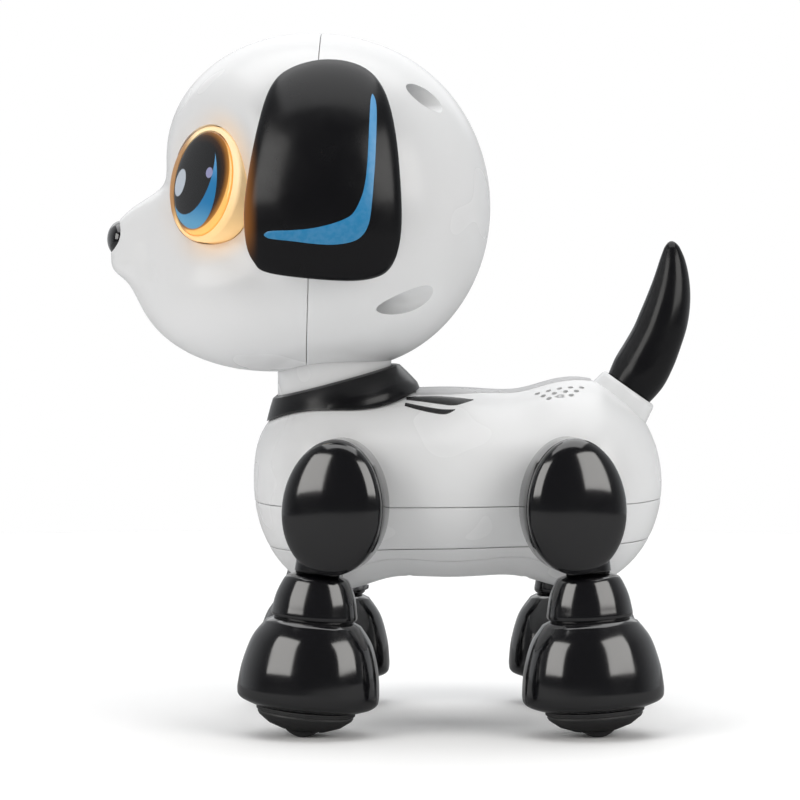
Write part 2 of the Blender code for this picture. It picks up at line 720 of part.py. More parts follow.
def build_body_shells(materials):
    blob = body_blob()
    shell = blob.solid("body_shell", BODY_CENTRE[2], BODY_CENTRE[2], 13, 26)
    combine(shell, blob.solid("hollow", BODY_CENTRE[2], BODY_CENTRE[2], 9, 18, WALL))
    lip = turned("tail_lip", ((7.6, -4.5), (6.5, 1.2)), 20)
    combine(shell, move(lip, tail_placement()), "UNION")
    seat = turned("tail_seat", ((5.9, -0.4), (6.1, 6.0)), 20)
    combine(shell, move(seat, tail_placement()))
    stub_hole = turned("stub_hole", ((TAIL_STUB_RADIUS + 0.4, -12.0), (TAIL_STUB_RADIUS + 0.4, 2.0)), 16)
    combine(shell, move(stub_hole, tail_placement()))
    neck_hole = rod("neck_hole", (NECK_X, 0.0, NECK_BOTTOM - 1.0), (0.0, 0.0, 1.0), NECK_RADIUS + GAP, 20.0, 28)
    combine(shell, neck_hole)
    back = duplicate(shell, "back_shell")
    combine(back, seam_slab("above", shifted(UPPER_SEAM, GAP / 2), (150.0, 0.0)), "INTERSECT")
    belly = duplicate(shell, "belly_shell")
    combine(belly, seam_slab("below", (-50.0, 0.0), shifted(LOWER_SEAM, -GAP / 2)), "INTERSECT")
    middle = shell
    middle.name = "middle_shell"
    combine(middle, seam_slab("between", shifted(LOWER_SEAM, GAP / 2), shifted(UPPER_SEAM, -GAP / 2)), "INTERSECT")
    for piece in (back, middle):
        for end in ("front", "rear"):
            for side_name in SIDES:
                combine(piece, hip_bore(end, side_name))
    door = duplicate(belly, "battery_door")
    combine(door, door_block("door_area", 0.0, 0.0, 60.0), "INTERSECT")
    combine(belly, door_block("door_opening", GAP, 0.0, 60.0))
    screw_x = CELL_MIDDLE_X - CELL_HALF_LENGTH + 1.0
    skin = underside(blob, screw_x)
    screw_room = turned("screw_room", ((2.8, -9.0), (2.8, 0.7), (1.5, 0.75), (1.5, 9.0)), 14)
    combine(door, move(screw_room, Matrix.Translation((screw_x, 0.03, skin))))
    combine(belly, block("switch_slot", (SWITCH_X - 1.6, -3.4, 20.0), (SWITCH_X + 1.6, 3.4, 45.0)))
    for piece in (back, middle, belly, door):
        finish_piece(piece, materials["white"])
    screw = turned("door_screw", ((2.4, -0.7), (2.4, 0.4), (1.1, 0.41), (1.1, 6.0)), 12)
    finish_piece(move(screw, Matrix.Translation((screw_x, 0.0, skin))), materials["steel"])
    build_switch(blob, materials)


def underside(blob, x):
    """Height of the belly's skin on the middle line."""
    middle = Vector((x, 0.0, BODY_CENTRE[2]))
    return BODY_CENTRE[2] - blob.reach(middle, Vector((0.0, 0.0, -1.0)), 0.0)


def build_switch(blob, materials):
    skin = underside(blob, SWITCH_X)
    pivot = add_pivot("switch_pivot", Matrix.Translation(Vector((SWITCH_X, -1.5, skin)) * MM))
    inside = skin + WALL + SWITCH_INSIDE
    knob = block("power_switch", (SWITCH_X - 1.3, -3.0, skin - 1.0), (SWITCH_X + 1.3, 0.0, inside + 0.6))
    combine(knob, block("flange", (SWITCH_X - 2.3, -4.4, inside), (SWITCH_X + 2.3, 1.4, inside + 1.2)), "UNION")
    finish_piece(knob, materials["satin"], pivot)


def build_neck_and_collar(materials):
    neck = turned_ring("neck", (
        (NECK_BORE, NECK_BOTTOM), (NECK_RADIUS, NECK_BOTTOM), (NECK_RADIUS, NECK_TOP - 1.4),
        (NECK_RADIUS + 1.4, NECK_TOP - 1.2), (NECK_RADIUS + 1.4, NECK_TOP), (NECK_BORE, NECK_TOP),
    ), 28)
    move(neck, Matrix.Translation((NECK_X, 0.0, 0.0)))
    finish_piece(neck, materials["white"])
    collar = turned("collar", (
        (COLLAR_BOTTOM_RADIUS - 0.8, -2.5), (COLLAR_BOTTOM_RADIUS, -0.6), (COLLAR_BOTTOM_RADIUS - 0.2, 0.8),
        (COLLAR_TOP_RADIUS + 0.3, COLLAR_HEIGHT - 0.8), (COLLAR_TOP_RADIUS - 0.4, COLLAR_HEIGHT),
    ), 32)
    tilt = Matrix.Rotation(math.radians(-COLLAR_TILT), 4, "Y")
    move(collar, Matrix.Translation(COLLAR_CENTRE) @ tilt)
    body = body_blob().solid("body_room", BODY_CENTRE[2], BODY_CENTRE[2], 13, 26, -GAP)
    combine(collar, body)
    neck_room = rod("neck_room", (NECK_X, 0.0, 50.0), (0.0, 0.0, 1.0), NECK_RADIUS + GAP, 50.0, 28)
    combine(collar, neck_room)
    finish_piece(collar, materials["satin"])


def build_back_band(materials):
    """Thin flat strip that lies along the spine, from the collar to the tail."""
    blob = body_blob()
    stations = 12
    rings = []
    for i in range(stations):
        x = BAND_START_X + (BAND_END_X - BAND_START_X) * i / (stations - 1)
        middle = Vector((x, 0.0, BODY_CENTRE[2]))
        ridge = BODY_CENTRE[2] + blob.reach(middle, Vector((0.0, 0.0, 1.0)), 0.0) + GAP
        edge_top = ridge + BAND_THICKNESS - BAND_SAG
        rings.append([(x, -BAND_HALF_WIDTH, ridge - BAND_SAG), (x, BAND_HALF_WIDTH, ridge - BAND_SAG),
                      (x, BAND_HALF_WIDTH, edge_top), (x, 0.0, ridge + BAND_THICKNESS),
                      (x, -BAND_HALF_WIDTH, edge_top)])
    band = loft("back_band", rings)
    combine(band, blob.solid("body_room", BODY_CENTRE[2], BODY_CENTRE[2], 13, 26, -GAP))
    finish_piece(band, materials["band"])


def build_battery_parts(materials):
    floor = CELL_Z - 3.9
    roof = CELL_Z + CELL_RADIUS + 0.5
    half_x = CELL_HALF_LENGTH + 1.2
    half_y = CELL_PITCH + CELL_RADIUS + 0.3
    outer_x = half_x + TRAY_WALL
    outer_y = half_y + TRAY_WALL
    tray = block("battery_tray", (CELL_MIDDLE_X - outer_x, -outer_y, floor),
                 (CELL_MIDDLE_X + outer_x, outer_y, roof + TRAY_WALL))
    combine(tray, block("bay", (CELL_MIDDLE_X - half_x, -half_y, floor - 5.0),
                        (CELL_MIDDLE_X + half_x, half_y, roof)))
    finish_piece(tray, materials["satin"])
    for name, offset in (("left", -1.0), ("middle", 0.0), ("right", 1.0)):
        profile = ((CELL_RADIUS, -CELL_HALF_LENGTH), (CELL_RADIUS, CELL_HALF_LENGTH - 1.0),
                   (1.9, CELL_HALF_LENGTH - 0.9), (1.9, CELL_HALF_LENGTH))
        cell = turned("battery_cell_" + name, profile, 16)
        direction = (-1.0, 0.0, 0.0) if name == "middle" else (1.0, 0.0, 0.0)
        move(cell, aim((CELL_MIDDLE_X, offset * CELL_PITCH, CELL_Z), direction))
        finish_piece(cell, materials["cell"])


def gear_solid(name, teeth, bore, phase):
    """Spur gear about Z with narrow straight-flanked teeth and a bore."""
    pitch_radius = 0.5 * MODULE * teeth
    step = 2 * math.pi / teeth
    outline = []
    for i in range(teeth):
        angle = phase + i * step
        for turn, radius in ((-0.2, -0.55), (-0.08, 0.4), (0.08, 0.4), (0.2, -0.55)):
            spot = angle + turn * step
            outline.append(((pitch_radius + radius) * math.cos(spot), (pitch_radius + radius) * math.sin(spot)))
    rings = [[(x, y, z) for x, y in outline] for z in (0.0, GEAR_WIDTH)]
    gear = loft(name, rings)
    combine(gear, turned("bore", ((bore, -1.0), (bore, GEAR_WIDTH + 1.0)), 12))
    return gear


def gear_x():
    spacing = 0.5 * MODULE * (PINION_TEETH + GEAR_TEETH) + 0.15
    return MOTOR_X + math.sqrt(spacing ** 2 - (GEAR_Z - MOTOR_Z) ** 2)


def build_drive(materials):
    motor = turned("motor", ((6.0, -12.0), (6.0, 6.0), (2.5, 6.1), (2.5, 7.2), (0.7, 7.3), (0.7, 12.6)), 20)
    to_side = aim((MOTOR_X, 0.0, MOTOR_Z), (0.0, 1.0, 0.0))
    finish_piece(move(motor, to_side), materials["steel"])
    heading = math.atan2(GEAR_Z - MOTOR_Z, gear_x() - MOTOR_X)
    for name, teeth, bore, x, z, towards in (
        ("motor_pinion", PINION_TEETH, 1.0, MOTOR_X, MOTOR_Z, heading + math.pi / PINION_TEETH),
        ("drive_gear", GEAR_TEETH, 1.3, gear_x(), GEAR_Z, heading + math.pi),
    ):
        pivot = add_pivot(name + "_pivot", Matrix.Translation(Vector((x, GEAR_PLANE_Y, z)) * MM))
        gear = gear_solid(name, teeth, bore, 0.0)
        move(gear, Matrix.Translation((x, GEAR_PLANE_Y, z)) @ Matrix.Rotation(-towards, 4, "Y")
             @ Matrix.Rotation(math.radians(-90.0), 4, "X"))
        finish_piece(gear, materials["gear"], pivot)
    axle = rod("gear_axle", (gear_x(), -13.0, GEAR_Z), (0.0, 1.0, 0.0), 1.0, 27.0, 12)
    finish_piece(axle, materials["steel"])


def build_electronics(materials):
    board = block("circuit_board", BOARD_LOW, BOARD_HIGH)
    finish_piece(board, materials["board"])
    speaker = turned("speaker", SPEAKER_PROFILE, 20)
    move(speaker, Matrix.Translation((SPEAKER_X, 0.0, 0.0)))
    finish_piece(speaker, materials["steel"])


def main():
    clear_scene()
    materials = make_materials()
    head_pivot = add_pivot("head_pivot", Matrix.Translation(Vector((NECK_X, 0.0, NECK_TOP)) * MM))
    build_head(materials, head_pivot)
    for name, side in SIDES.items():
        build_ear(name, side, materials, head_pivot)
    build_body_shells(materials)
    build_neck_and_collar(materials)
    build_back_band(materials)
    build_battery_parts(materials)
    build_drive(materials)
    build_electronics(materials)
    build_tail(materials)
    build_legs(materials)


main()
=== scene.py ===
"""Looks of the robot puppy toy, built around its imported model.

Shapes are written in millimetres in the model's own frame: the dog looks along -X and its left side faces -Y.
"""

import math

import bmesh
import bpy
import numpy as np
from mathutils import Matrix, Vector


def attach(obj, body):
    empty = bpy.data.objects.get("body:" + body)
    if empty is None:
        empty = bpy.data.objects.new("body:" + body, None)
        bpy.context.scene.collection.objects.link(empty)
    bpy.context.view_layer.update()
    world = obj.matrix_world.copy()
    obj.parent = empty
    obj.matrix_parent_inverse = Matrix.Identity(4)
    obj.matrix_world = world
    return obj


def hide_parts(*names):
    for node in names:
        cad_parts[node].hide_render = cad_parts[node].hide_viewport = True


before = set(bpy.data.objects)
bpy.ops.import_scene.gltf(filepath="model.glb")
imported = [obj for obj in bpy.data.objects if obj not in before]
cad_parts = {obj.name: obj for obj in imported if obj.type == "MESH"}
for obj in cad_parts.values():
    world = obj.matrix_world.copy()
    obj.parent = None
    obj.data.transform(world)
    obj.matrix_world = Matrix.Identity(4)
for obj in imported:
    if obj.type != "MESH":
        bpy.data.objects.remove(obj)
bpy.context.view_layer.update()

MM = 0.001
GAP = 0.3
WALL = 2.0
SIDES = {"left": -1.0, "right": 1.0}

# The same driving sizes as in the solid model.
HEAD_CENTRE = np.array((-16.0, 0.0, 113.5))
HEAD_LOBES = (
    ((-11.3, 0.0, 113.0), (31.1, 35.2, 35.1)),
    ((-20.8, 0.0, 124.8), (30.3, 33.8, 26.0)),
    ((-31.0, 0.0, 105.3), (32.4, 19.0, 14.5)),
    ((-29.1, 0.0, 95.4), (28.0, 27.0, 18.3)),
)
HEAD_SHARPNESS = 0.5
HEAD_SEAM_X = -18.8
HEAD_SEAM_TILT = 2.5
HEAD_FRONT_BEND = -12.6
NOSE_CENTRE = np.array((-61.2, 0.0, 106.0))
NOSE_RADII = np.array((3.15, 5.5, 4.1))

BODY_CENTRE = np.array((12.5, 0.0, 51.5))
BODY_LOBES = (
    ((-14.5, 0.0, 50.5), (16.7, 23.8, 21.5)),
    ((38.7, 0.0, 52.4), (18.6, 24.4, 22.8)),
    ((11.0, 0.0, 52.4), (35.7, 26.0, 20.7)),
    ((-12.5, 0.0, 61.5), (13.6, 17.8, 7.6)),
)
BODY_SHARPNESS = 0.35
BODY_SPREAD = (44.0, 26.0, 23.0)
BODY_STEPS = 240
UPPER_SEAM = (48.8, 0.5)
LOWER_SEAM = (39.3, 1.3)

EYE_TURN = 50.0
EYE_RISE = 8.0
EYE_FLOOR = 33.4
DISH_RADIUS = 80.0
LENS_RADII = (10.0, 11.2)
LENS_RIM = 1.15
LENS_CROWN = 0.85
HALO_RADIUS = 12.5
EYE_LEAN = 12.0

NECK_X = -14.4
NECK_RADIUS = 12.5
NECK_BORE = 10.3
NECK_BOTTOM = 65.0
NECK_TOP = 85.0

COLLAR_TILT = 15.0
COLLAR_CENTRE = (-12.6, 0.0, 69.4)
COLLAR_PROFILE = (
    (16.4, -2.5), (17.1, -1.6), (17.4, -0.6), (17.2, 0.8), (16.5, 2.1), (15.6, 3.7), (14.8, 5.0),
    (14.45, 5.55), (13.9, 5.8), (13.4, 6.0),
)

EAR_OUTLINE = (
    (0.8, 31.2), (-6.6, 29.6), (-11.2, 25.6), (-14.1, 16.5), (-16.6, 2.1), (-16.6, -6.7), (-14.9, -11.6),
    (-11.2, -14.1), (2.9, -15.6), (10.4, -15.1), (14.2, -12.6), (16.1, -6.7), (16.3, 2.1),
    (15.1, 15.5), (12.6, 24.7), (8.1, 29.6),
)
EAR_INNER = 39.6
EAR_PARTING = 40.9
EAR_RIM = 42.3
EAR_CROWN = 44.4
EAR_PEG_RISE = 28.0
EAR_PEG_X = -13.2
EAR_PEG_RADIUS = 2.4
# The two long edges of the blue stripe, from its top tip round the corner to its front tip.
STRIPE_OUTER = (
    (10.3, 23.7), (10.95, 21.9), (11.1, 17.9), (10.75, 8.7), (10.0, -0.4), (9.3, -4.0), (8.0, -6.1),
    (6.0, -7.3), (2.5, -7.9), (-1.5, -7.8), (-6.6, -7.2), (-11.2, -6.7), (-12.5, -6.1),
)
STRIPE_INNER = (
    (10.1, 23.7), (9.8, 22.2), (9.6, 18.4), (9.15, 8.9), (8.5, 4.0), (7.5, 1.0), (6.2, -1.3),
    (4.5, -2.5), (1.5, -3.6), (-2.5, -4.5), (-6.6, -4.9), (-11.2, -5.1), (-12.5, -5.7),
)

HIP_FRONT_X = -12.5
HIP_REAR_X = 35.6
HIP_SIDE = 25.8
HIP_YAW = 13.0
SWING_FRONT = {"left": 5.0, "right": 2.0}
SWING_REAR = {"left": 3.0, "right": 1.0}
FOOT_SHIFT = 3.3
HIP_HEIGHT = 50.0
HIP_SHAFT_RADIUS = 3.0
HIP_SHAFT_LENGTH = 7.0
THIGH_HALF_WIDTH = 10.9
THIGH_DEPTH = 13.4
THIGH_HALF_HEIGHT = 14.6
THIGH_PARTING = 8.0
THIGH_TAPER = 0.05
THIGH_EDGE = 0.3
FOOT_CENTRE_Y = 3.2
ANKLE_PROFILE = ((35.0, 4.0), (34.6, 5.6), (33.8, 6.9), (30.5, 8.4), (27.5, 9.05), (25.9, 9.2), (25.2, 8.5))
FOOT_PROFILE = (
    (24.4, 10.2), (20.5, 12.9), (15.0, 14.6), (10.5, 15.2), (8.6, 15.2), (7.7, 14.9), (7.0, 14.0),
    (6.2, 11.8),
)
FOOT_DEPTH_SHARE = 0.76
SOLE_PROFILE = (
    (5.9, 10.8), (5.2, 10.75), (4.9, 10.3), (4.6, 10.45), (4.0, 10.1), (2.4, 7.9), (1.3, 4.8), (0.9, 2.4),
)
SOLE_DEPTH_SHARE = 0.8
ROLLER_RADIUS = 5.0
ROLLER_HALF_WIDTH = 3.2
ROLLER_AXLE_RADIUS = 1.1
ROLLER_AXLE_HALF = 5.4
FLUTES = 20
FLUTE_DEPTH = 0.16

TAIL_BASE = (49.8, 0.0, 72.3)
TAIL_LEAN = 35.0
TAIL_STUB_RADIUS = 3.0
TAIL_CURVE = ((49.8, 72.3), (57.4, 83.1), (61.0, 94.0), (59.6, 105.6))
TAIL_STATIONS = (
    (0.0, 5.3), (0.13, 6.15), (0.26, 6.0), (0.38, 5.65), (0.5, 5.4), (0.63, 4.8), (0.76, 3.9), (0.88, 2.8),
    (0.96, 1.7),
)

DOOR_MIDDLE_X = 12.0
DOOR_HALF_X = 24.45
DOOR_HALF_Y = 16.6
DOOR_SCREW_X = -9.25
DOOR_GROOVES = (2.1, 27.4)
SWITCH_X = -16.2
SWITCH_INSIDE = 2.9
SCREW_FLOOR_X = -13.3
SCREW_PLACES = (("upper", 18.4, 136.6), ("lower", 24.6, 93.4))


# Seen width of the seams, and how far the shells' edges draw in beside them.
SEAM_GAP = 0.14
SEAM_ROUNDING = (0.12, 0.04, 0.01)

# Clearances of the holes that pins and necks turn in, and how far a bisection of a surface looks out.
PIN_ROOM = 0.4
SURFACE_REACH = 90.0


# ---------------------------------------------------------------- smooth forms

class Blob:
    """Smooth union of ellipsoids, with round dishes pressed into it."""

    def __init__(self, lobes, sharpness, dishes=()):
        self.lobes = [(np.array(c), np.array(r)) for c, r in lobes]
        self.sharpness = sharpness
        self.dishes = dishes

    def distance(self, points):
        total = 0.0
        for centre, radii in self.lobes:
            scaled = np.sqrt((((points - centre) / radii) ** 2).sum(-1))
            total = total + np.exp(-self.sharpness * (scaled - 1.0) * radii.min())
        outside = -np.log(total) / self.sharpness
        for centre, radius in self.dishes:
            pressed = radius - np.sqrt(((points - centre) ** 2).sum(-1))
            outside = np.log(np.exp(outside) + np.exp(pressed))
        return outside

    def surface(self, origins, directions, inset=0.0):
        """Points of the surface, moved inwards by the inset, along directions from origins."""
        origins = np.broadcast_to(origins, directions.shape)
        inset = np.broadcast_to(inset, directions.shape[:-1])
        low = np.zeros(directions.shape[:-1])
        high = np.full(directions.shape[:-1], SURFACE_REACH)
        for _ in range(30):
            middle = 0.5 * (low + high)
            inside = self.distance(origins + directions * middle[..., None]) < -inset
            low = np.where(inside, middle, low)
            high = np.where(inside, high, middle)
        return origins + directions * low[..., None]


def unit(vectors):
    return vectors / np.sqrt((vectors ** 2).sum(-1, keepdims=True))


def eye_direction(side):
    turn, rise = math.radians(EYE_TURN), math.radians(EYE_RISE)
    return np.array((-math.sin(turn) * math.cos(rise), side * math.cos(turn) * math.cos(rise),
                     math.sin(rise)))


HEAD = Blob(HEAD_LOBES, HEAD_SHARPNESS, [
    (HEAD_CENTRE + eye_direction(side) * (EYE_FLOOR + DISH_RADIUS), DISH_RADIUS) for side in SIDES.values()
])
BODY = Blob(BODY_LOBES, BODY_SHARPNESS)


# ---------------------------------------------------------------- mesh helpers

def mesh_object(name, points, faces):
    mesh = bpy.data.meshes.new(name)
    mesh.from_pydata([tuple(float(c) * MM for c in p) for p in points], [], faces)
    work = bmesh.new()
    work.from_mesh(mesh)
    bmesh.ops.recalc_face_normals(work, faces=work.faces)
    work.to_mesh(mesh)
    work.free()
    return add_object(name, mesh)


def loft(name, rings, first_pole=None, last_pole=None):
    """Closed solid through rings of equal length, with a flat cap or a pole at each end."""
    rings = [np.asarray(ring, float) for ring in rings]
    count = len(rings[0])
    points = list(np.concatenate(rings))
    faces = []
    for i in range(len(rings) - 1):
        for j in range(count):
            k = (j + 1) % count
            faces.append((i * count + j, i * count + k, (i + 1) * count + k, (i + 1) * count + j))
    for start, pole in ((0, first_pole), ((len(rings) - 1) * count, last_pole)):
        ring = [start + j for j in range(count)]
        if pole is None:
            faces.append(tuple(ring))
        else:
            points.append(np.asarray(pole, float))
            tip = len(points) - 1
            faces.extend((ring[j], ring[(j + 1) % count], tip) for j in range(count))
    return mesh_object(name, points, faces)


def tube(name, sections):
    """Closed ring: every section is a closed profile, and the sections close on themselves."""
    sections = np.asarray(sections, float)
    count, rows = sections.shape[:2]
    faces = []
    for j in range(count):
        k = (j + 1) % count
        for i in range(rows):
            m = (i + 1) % rows
            faces.append((j * rows + i, k * rows + i, k * rows + m, j * rows + m))
    return mesh_object(name, sections.reshape(-1, 3), faces)


def turns(steps):
    return 2 * math.pi * np.arange(steps) / steps


def oval(half_x, half_y, height, steps):
    """Ring of points round Z."""
    angle = turns(steps)
    return np.stack((half_x * np.cos(angle), half_y * np.sin(angle), np.full(steps, height)), -1)


def turned(name, profile, steps=96):
    """Solid turned about Z from a profile of (radius, height); an end on the axis becomes a pole."""
    first = (0.0, 0.0, profile[0][1]) if profile[0][0] == 0 else None
    last = (0.0, 0.0, profile[-1][1]) if profile[-1][0] == 0 else None
    return loft(name, [oval(r, r, z, steps) for r, z in profile if r > 0], first, last)


def turned_ring(name, profile, steps=96):
    sections = [[(r * math.cos(a), r * math.sin(a), z) for r, z in profile] for a in turns(steps)]
    return tube(name, sections)


def block(name, low, high):
    points = [(x, y, z) for x in (low[0], high[0]) for y in (low[1], high[1]) for z in (low[2], high[2])]
    faces = [(0, 1, 3, 2), (4, 6, 7, 5), (0, 4, 5, 1), (2, 3, 7, 6), (0, 2, 6, 4), (1, 5, 7, 3)]
    return mesh_object(name, points, faces)


def add_object(name, data):
    thing = bpy.data.objects.new(name, data)
    bpy.context.scene.collection.objects.link(thing)
    return thing


def move(thing, matrix):
    scaled = matrix.copy()
    scaled.translation = matrix.translation * MM
    thing.data.transform(scaled)
    return thing


def aim(origin, direction, up=(0.0, 0.0, 1.0)):
    """Placement whose Z runs along the direction and whose Y is as near to up as it can be."""
    z_axis = Vector(direction).normalized()
    x_axis = Vector(up).cross(z_axis).normalized()
    matrix = Matrix((x_axis, z_axis.cross(x_axis), z_axis)).transposed().to_4x4()
    matrix.translation = Vector(origin)
    return matrix


def rod(name, start, direction, radius, length, steps=48):
    side = (0.0, 1.0, 0.0) if abs(Vector(direction).normalized().z) > 0.9 else (0.0, 0.0, 1.0)
    return move(turned(name, ((radius, 0.0), (radius, length)), steps), aim(start, direction, side))


def joined(name, things):
    """One object out of several that don't touch."""
    work = bmesh.new()
    for thing in things:
        work.from_mesh(thing.data)
        bpy.data.objects.remove(thing, do_unlink=True)
    mesh = bpy.data.meshes.new(name)
    work.to_mesh(mesh)
    work.free()
    return add_object(name, mesh)


def combine(target, tool, operation="DIFFERENCE"):
    """Shape the target with the tool, which is used up."""
    modifier = target.modifiers.new("cut", "BOOLEAN")
    modifier.operation = operation
    modifier.solver = "EXACT"
    modifier.object = tool
    bpy.context.view_layer.update()
    shaped = target.evaluated_get(bpy.context.evaluated_depsgraph_get())
    mesh = bpy.data.meshes.new_from_object(shaped)
    target.modifiers.clear()
    target.data = mesh
    bpy.data.objects.remove(tool, do_unlink=True)
    return target


def smooth_outline(points, pieces, closed=True):
    """Catmull-Rom curve through the points, with a number of pieces between two of them."""
    points = np.array(points, float)
    count = len(points)
    spans = count if closed else count - 1
    curve = []
    for i in range(spans):
        picks = [(i + k - 1) % count if closed else min(max(i + k - 1, 0), count - 1) for k in range(4)]
        a, b, c, d = points[picks]
        for step in range(pieces):
            t = step / pieces
            curve.append(0.5 * (2 * b + (c - a) * t + (2 * a - 5 * b + 4 * c - d) * t * t
                                + (3 * b - a - 3 * c + d) * t ** 3))
    if not closed:
        curve.append(points[-1])
    return np.array(curve)


SHARP_ANGLE = 32.0


def dress(thing, body, material, nodes=()):
    """Give the piece its material and shading, and say what it rides on and which nodes it stands for."""
    thing.data.materials.clear()
    thing.data.materials.append(material)
    thing.data.shade_smooth()
    thing.data.set_sharp_from_angle(angle=math.radians(SHARP_ANGLE))
    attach(thing, body)
    if nodes:
        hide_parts(*nodes)


# ---------------------------------------------------------------- materials

# Where Blender keeps the colour sockets of its Mix node.
MIX_COLOUR_INPUTS = (6, 7)
MIX_COLOUR_OUTPUT = 2
WEAR_RADIUS = 0.6 * MM
SATIN_SPECULAR = 0.3


class Paint:
    """Short way to write a material's nodes."""

    def __init__(self, name):
        self.material = bpy.data.materials.new(name)
        self.material.use_nodes = True
        self.nodes = self.material.node_tree.nodes
        self.links = self.material.node_tree.links
        self.shader = self.nodes["Principled BSDF"]
        self.place = self.nodes.new("ShaderNodeTexCoord").outputs["Object"]
        self.bump_normal = None

    def feed(self, socket, value):
        if isinstance(value, bpy.types.NodeSocket):
            self.links.new(value, socket)
        elif isinstance(value, tuple) and len(value) == 3 and socket.type == "RGBA":
            socket.default_value = (*value, 1.0)
        else:
            socket.default_value = value

    def math(self, operation, *values):
        node = self.nodes.new("ShaderNodeMath")
        node.operation = operation
        for socket, value in zip(node.inputs, values):
            self.feed(socket, value)
        return node.outputs[0]

    def times(self, first, second):
        return self.math("MULTIPLY", first, second)

    def length(self, x, y):
        return self.math("SQRT", self.math("ADD", self.times(x, x), self.times(y, y)))

    def vector_math(self, operation, *values):
        node = self.nodes.new("ShaderNodeVectorMath")
        node.operation = operation
        for socket, value in zip(node.inputs, values):
            self.feed(socket, value)
        return node.outputs["Vector" if operation == "SUBTRACT" else "Value"]

    def ramp(self, value, low, high, start=0.0, end=1.0):
        """Smooth step from start to end as the value goes from low to high."""
        node = self.nodes.new("ShaderNodeMapRange")
        node.interpolation_type = "SMOOTHSTEP"
        node.clamp = True
        for name, number in (("From Min", low), ("From Max", high), ("To Min", start), ("To Max", end)):
            self.feed(node.inputs[name], number)
        self.feed(node.inputs["Value"], value)
        return node.outputs["Result"]

    def mix(self, share, first, second):
        node = self.nodes.new("ShaderNodeMix")
        node.data_type = "RGBA"
        self.feed(node.inputs["Factor"], share)
        self.feed(node.inputs[MIX_COLOUR_INPUTS[0]], first)
        self.feed(node.inputs[MIX_COLOUR_INPUTS[1]], second)
        return node.outputs[MIX_COLOUR_OUTPUT]

    def noise(self, scale, detail, stretch=None):
        """Noise with a number of features per metre."""
        node = self.nodes.new("ShaderNodeTexNoise")
        node.inputs["Scale"].default_value = scale
        node.inputs["Detail"].default_value = detail
        place = self.place
        if stretch is not None:
            mapping = self.nodes.new("ShaderNodeMapping")
            mapping.inputs["Scale"].default_value = stretch
            self.links.new(place, mapping.inputs["Vector"])
            place = mapping.outputs["Vector"]
        self.links.new(place, node.inputs["Vector"])
        return node.outputs["Fac"]

    def uneven(self, scale, detail, start=0.0, end=1.0):
        """Noise spread over a range of values."""
        return self.ramp(self.noise(scale, detail), 0.3, 0.7, start, end)

    def parts(self, vector=None):
        node = self.nodes.new("ShaderNodeSeparateXYZ")
        self.links.new(self.place if vector is None else vector, node.inputs[0])
        return node.outputs[0], node.outputs[1], node.outputs[2]

    def print_place(self):
        """Place on the eye, in millimetres: across towards the ear, and up."""
        uv = self.nodes.new("ShaderNodeUVMap")
        uv.uv_map = "print"
        across, up, _ = self.parts(uv.outputs[0])
        return across, up

    def bump(self, height, strength, distance):
        node = self.nodes.new("ShaderNodeBump")
        node.inputs["Strength"].default_value = strength
        node.inputs["Distance"].default_value = distance
        self.links.new(height, node.inputs["Height"])
        if self.bump_normal is not None:
            self.links.new(self.bump_normal, node.inputs["Normal"])
        self.bump_normal = node.outputs["Normal"]
        self.links.new(self.bump_normal, self.shader.inputs["Normal"])

    def set(self, **values):
        for name, value in values.items():
            self.feed(self.shader.inputs[name.replace("_", " ")], value)

    def edge_wear(self):
        """1 on sharp outer edges, fading within a few tenths of a millimetre."""
        node = self.nodes.new("ShaderNodeBevel")
        node.inputs["Radius"].default_value = WEAR_RADIUS
        node.samples = 4
        geometry = self.nodes.new("ShaderNodeNewGeometry")
        likeness = self.vector_math("DOT_PRODUCT", node.outputs[0], geometry.outputs["Normal"])
        return self.ramp(likeness, 0.985, 0.8)


def moulded(name, colour, roughness, spread, orange_peel, fine=0.0, worn=None):
    """Moulded plastic: faint uneven gloss, a trace of orange peel, and worn edges where asked."""
    paint = Paint(name)
    dark = tuple(c * 0.965 for c in colour)
    base = paint.mix(paint.ramp(paint.noise(45.0, 2.0), 0.35, 0.65), dark, colour)
    if worn is not None:
        base = paint.mix(paint.times(paint.edge_wear(), 0.5), base, worn)
    rough = paint.uneven(160.0, 4.0, roughness - spread, roughness + spread)
    paint.set(Base_Color=base, Roughness=rough)
    paint.bump(paint.noise(420.0, 2.0), orange_peel, 0.00008)
    if fine:
        paint.bump(paint.noise(2600.0, 3.0), fine, 0.00004)
    return paint


def white_material(name, glow=False):
    """Glossy white shell, with the eyes' light on it where asked."""
    paint = Paint(name)
    tone = paint.ramp(paint.noise(30.0, 1.0), 0.0, 1.0)
    base = paint.mix(tone, (0.725, 0.735, 0.742), (0.75, 0.75, 0.757))
    rough = paint.ramp(paint.noise(50.0, 1.0), 0.0, 1.0, 0.24, 0.29)
    if glow:
        for side in SIDES.values():
            base = eye_spill(paint, base, side)
    paint.set(Base_Color=base, Roughness=rough)
    return paint.material


def eye_spill(paint, base, side):
    """Warm light of the eye ring on the white shell around it, strongest towards the ear."""
    centre = (HEAD_CENTRE + eye_direction(side) * (EYE_FLOOR + 1.0)) * MM
    across = eye_placement(side).to_3x3().col[0] * -side
    away = paint.vector_math("SUBTRACT", paint.place, tuple(centre))
    near = paint.ramp(paint.vector_math("LENGTH", away), 0.0185, 0.0118)
    towards_ear = paint.ramp(paint.vector_math("DOT_PRODUCT", away, tuple(across)), -0.009, 0.009, 0.12, 1.0)
    return paint.mix(paint.times(paint.times(near, towards_ear), 0.7), base, (1.0, 0.72, 0.46))


